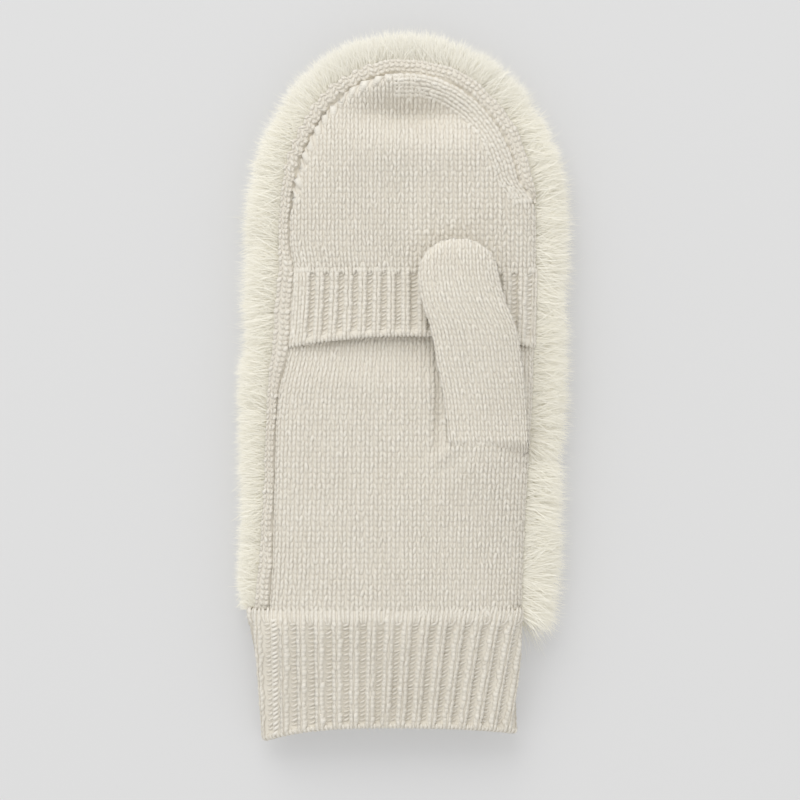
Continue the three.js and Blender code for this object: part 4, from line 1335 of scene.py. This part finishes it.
def make_halo(name, start, end, count):
    """Fur that stands out round one stretch of the edge, in locks."""
    parts = Parts(name)
    locks = max(1, count // HAIRS_TO_A_LOCK)
    lock_share = RANDOM.uniform(start, end, locks)
    lock_depth = RANDOM.uniform(0.0, 0.95, locks)
    lock_sway = RANDOM.normal(0, SWAY, locks)
    lock_long = RANDOM.uniform(0.86, 1.06, locks)
    which = RANDOM.integers(0, locks, count)
    share = np.clip(lock_share[which] + RANDOM.normal(0, LOCK_SPREAD, count), 0, 1)
    depth = np.clip(lock_depth[which] + RANDOM.normal(0, 0.08, count), 0.0, 0.97)
    x, y, out_x, out_y, go_x, go_y = outline_at(share)
    side = np.where(x < 0, -1.0, 1.0)
    reach = fur_reach(y, side)
    combed = smoothstep(COMBED_FROM, COMBED_TO, depth)
    level = np.clip(1 - 2 * depth, -1, 1)
    cushion = np.sqrt(1 - np.abs(level) ** 2.5) ** 0.7
    buried = 0.8 + (1 - cushion) * HAND_WIDTH / 2 - CUSHION_SHARE * reach * cushion
    start_in = mix(RANDOM.uniform(*HAIR_ROOTS, count), np.minimum(buried, HAIR_ROOTS[1]), combed)
    height = (edge_height(y) - 2.2) * (1 - depth)
    root = np.stack([x - out_x * start_in, y - out_y * start_in, np.maximum(height, 0.6)], axis=1)
    at_wrist = 1 - smoothstep(*WRIST_FUR, y)
    swirl = 0.3 * np.sin(share * 43 + 1) + 0.22 * np.sin(share * 101 + 2) + 0.15 * np.sin(share * 233)
    sway = lock_sway[which] + RANDOM.normal(0, SWAY, count) + swirl
    sway = sway + at_wrist * np.where(side < 0, 0.35, 0.4)
    nap = np.clip((share - TIP_SHARE) * 9, -1, 1)
    sway = sway + COMB * combed * nap * np.where(side < 0, 1 - at_wrist, 1)
    rise = mix(0.16, -0.12, depth) + RANDOM.normal(0, 0.1, count) - 0.4 * combed
    direction = np.stack([out_x + go_x * sway, out_y + go_y * sway, rise], axis=1)
    face = np.stack([out_x * depth * 0.8, out_y * depth * 0.8, np.ones(count)], axis=1)
    fine = RANDOM.uniform(0, 1, count) < 0.5
    grown = np.where(fine, RANDOM.beta(4.0, 1.4, count), RANDOM.beta(2.6, 2.2, count))
    length = (reach * lock_long[which] + start_in) * grown * mix(1.2, COMBED_LENGTH, combed)
    width = np.where(fine, RANDOM.uniform(*FINE_HAIR, count), RANDOM.uniform(*COARSE_HAIR, count))
    sag = length * 0.12 * RANDOM.uniform(0.3, 1.6, count)
    curl = length * RANDOM.normal(0, 0.2, count)
    add_hairs(parts, root, direction, face, length, width, sag, curl, FUR)
    return parts.make(["fur_back"])


def make_underfur():
    """Fur on the underside, lying back towards the wrist where the mitten rests."""
    parts = Parts("fur_under")
    count = UNDER_HAIRS
    y = RANDOM.uniform(4, HAND_LENGTH + 4, count)
    across = RANDOM.uniform(-1, 1, count)
    reach = hand_reach(y, across) + 5
    around = roundness(y, HAND_LENGTH + 6)
    x = across * reach * around
    z = RANDOM.uniform(0.8, 2.4, count)
    root = np.stack([x, y, z], axis=1)
    swirl = np.sin(x * 0.11 + y * 0.07) * 0.5 + RANDOM.normal(0, 0.25, count)
    back = np.ones(count)
    direction = np.stack([swirl + across * 0.5, -back, -0.05 * back], axis=1)
    length = RANDOM.uniform(7, 14, count) * np.clip((y + 2) / 12, 0.3, 1)
    width = RANDOM.uniform(0.25, 0.5, count)
    sag = length * 0.05
    curl = length * RANDOM.normal(0, 0.12, count)
    face = np.broadcast_to(np.array([0.0, 0.0, -1.0]), (count, 3))
    add_hairs(parts, root, direction, face, length, width, sag, curl, FUR)
    add_end_hairs(parts)
    return parts.make(["fur_back"])


END_HAIRS = 1800


def add_end_hairs(parts):
    """Fur that covers the end of the back at the wrist, under the cuff."""
    count = END_HAIRS
    x = RANDOM.uniform(-52, 47, count)
    z = RANDOM.uniform(1.5, 11, count)
    root = np.stack([x, np.full(count, FUR_START + 2.0), z], axis=1)
    back = np.ones(count)
    direction = np.stack([RANDOM.normal(0, 0.35, count), -back, -0.45 * back], axis=1)
    face = np.broadcast_to(np.array([0.0, -1.0, 0.4]), (count, 3))
    length = RANDOM.uniform(4, 9, count)
    width = RANDOM.uniform(0.12, 0.3, count)
    curl = length * RANDOM.normal(0, 0.2, count)
    add_hairs(parts, root, direction, face, length, width, length * 0.15, curl, FUR)


make_palm()
make_hood()
make_band()
make_thumb()
make_seam()
make_cuff()
make_fur_mass()
for piece, (low, high) in HALO_PIECES.items():
    make_halo(piece, low, high, int(HALO_HAIRS * (high - low)))
make_underfur()


# Floor, light and camera

FRAME_MM_PER_PIXEL = 0.393
FRAME_PIXELS = 800
MIDDLE_PIXEL = (404.6, 612.0)  # the hand's middle line and wrist line in the photograph's frame
CAMERA_HEIGHT = 1.7
LENS_LEVEL = 0.026  # height at which the frame's scale holds
SENSOR = 36.0


FLOOR_TONE = (0.44, 0.44, 0.44, 1)
FLOOR_GLOW = 0.275
SKY_STRENGTH = 0.8
WINDOW = {"place": (-0.7, 2.25, 2.0), "size": 2.4, "power": 44}
WHITE = (1.0, 1.0, 1.0, 1)


def make_floor():
    bpy.ops.mesh.primitive_plane_add(size=8.0, location=(0, 0, 0))
    floor = bpy.context.object
    floor.name = "floor"
    material, shader = principled("floor_paper", 0.9, 0.0)
    shader.inputs["Base Color"].default_value = FLOOR_TONE
    shader.inputs["Emission Color"].default_value = WHITE
    shader.inputs["Emission Strength"].default_value = FLOOR_GLOW
    floor.data.materials.append(material)


def make_sky():
    world = bpy.data.worlds.new("studio")
    bpy.context.scene.world = world
    world.use_nodes = True
    background = world.node_tree.nodes["Background"]
    background.inputs["Color"].default_value = WHITE
    background.inputs["Strength"].default_value = SKY_STRENGTH


def make_window():
    """A large soft light that points at the mitten."""
    data = bpy.data.lights.new("window", "AREA")
    data.shape = "SQUARE"
    data.size = WINDOW["size"]
    data.energy = WINDOW["power"]
    light = bpy.data.objects.new("window", data)
    bpy.context.collection.objects.link(light)
    light.location = WINDOW["place"]
    light.rotation_euler = (-Vector(WINDOW["place"])).to_track_quat("-Z", "Y").to_euler()
    light.visible_camera = False


def make_camera():
    half = FRAME_PIXELS / 2
    x = (half - MIDDLE_PIXEL[0]) * FRAME_MM_PER_PIXEL * MM
    y = (MIDDLE_PIXEL[1] - half) * FRAME_MM_PER_PIXEL * MM + WRIST_Y
    data = bpy.data.cameras.new("camera")
    data.sensor_width = SENSOR
    data.lens = SENSOR * (CAMERA_HEIGHT - LENS_LEVEL) / (FRAME_PIXELS * FRAME_MM_PER_PIXEL * MM)
    camera = bpy.data.objects.new("camera", data)
    bpy.context.collection.objects.link(camera)
    camera.location = (x, y, CAMERA_HEIGHT)
    bpy.context.scene.camera = camera


make_floor()
make_sky()
make_window()
make_camera()
bpy.context.scene.view_settings.view_transform = "Standard"
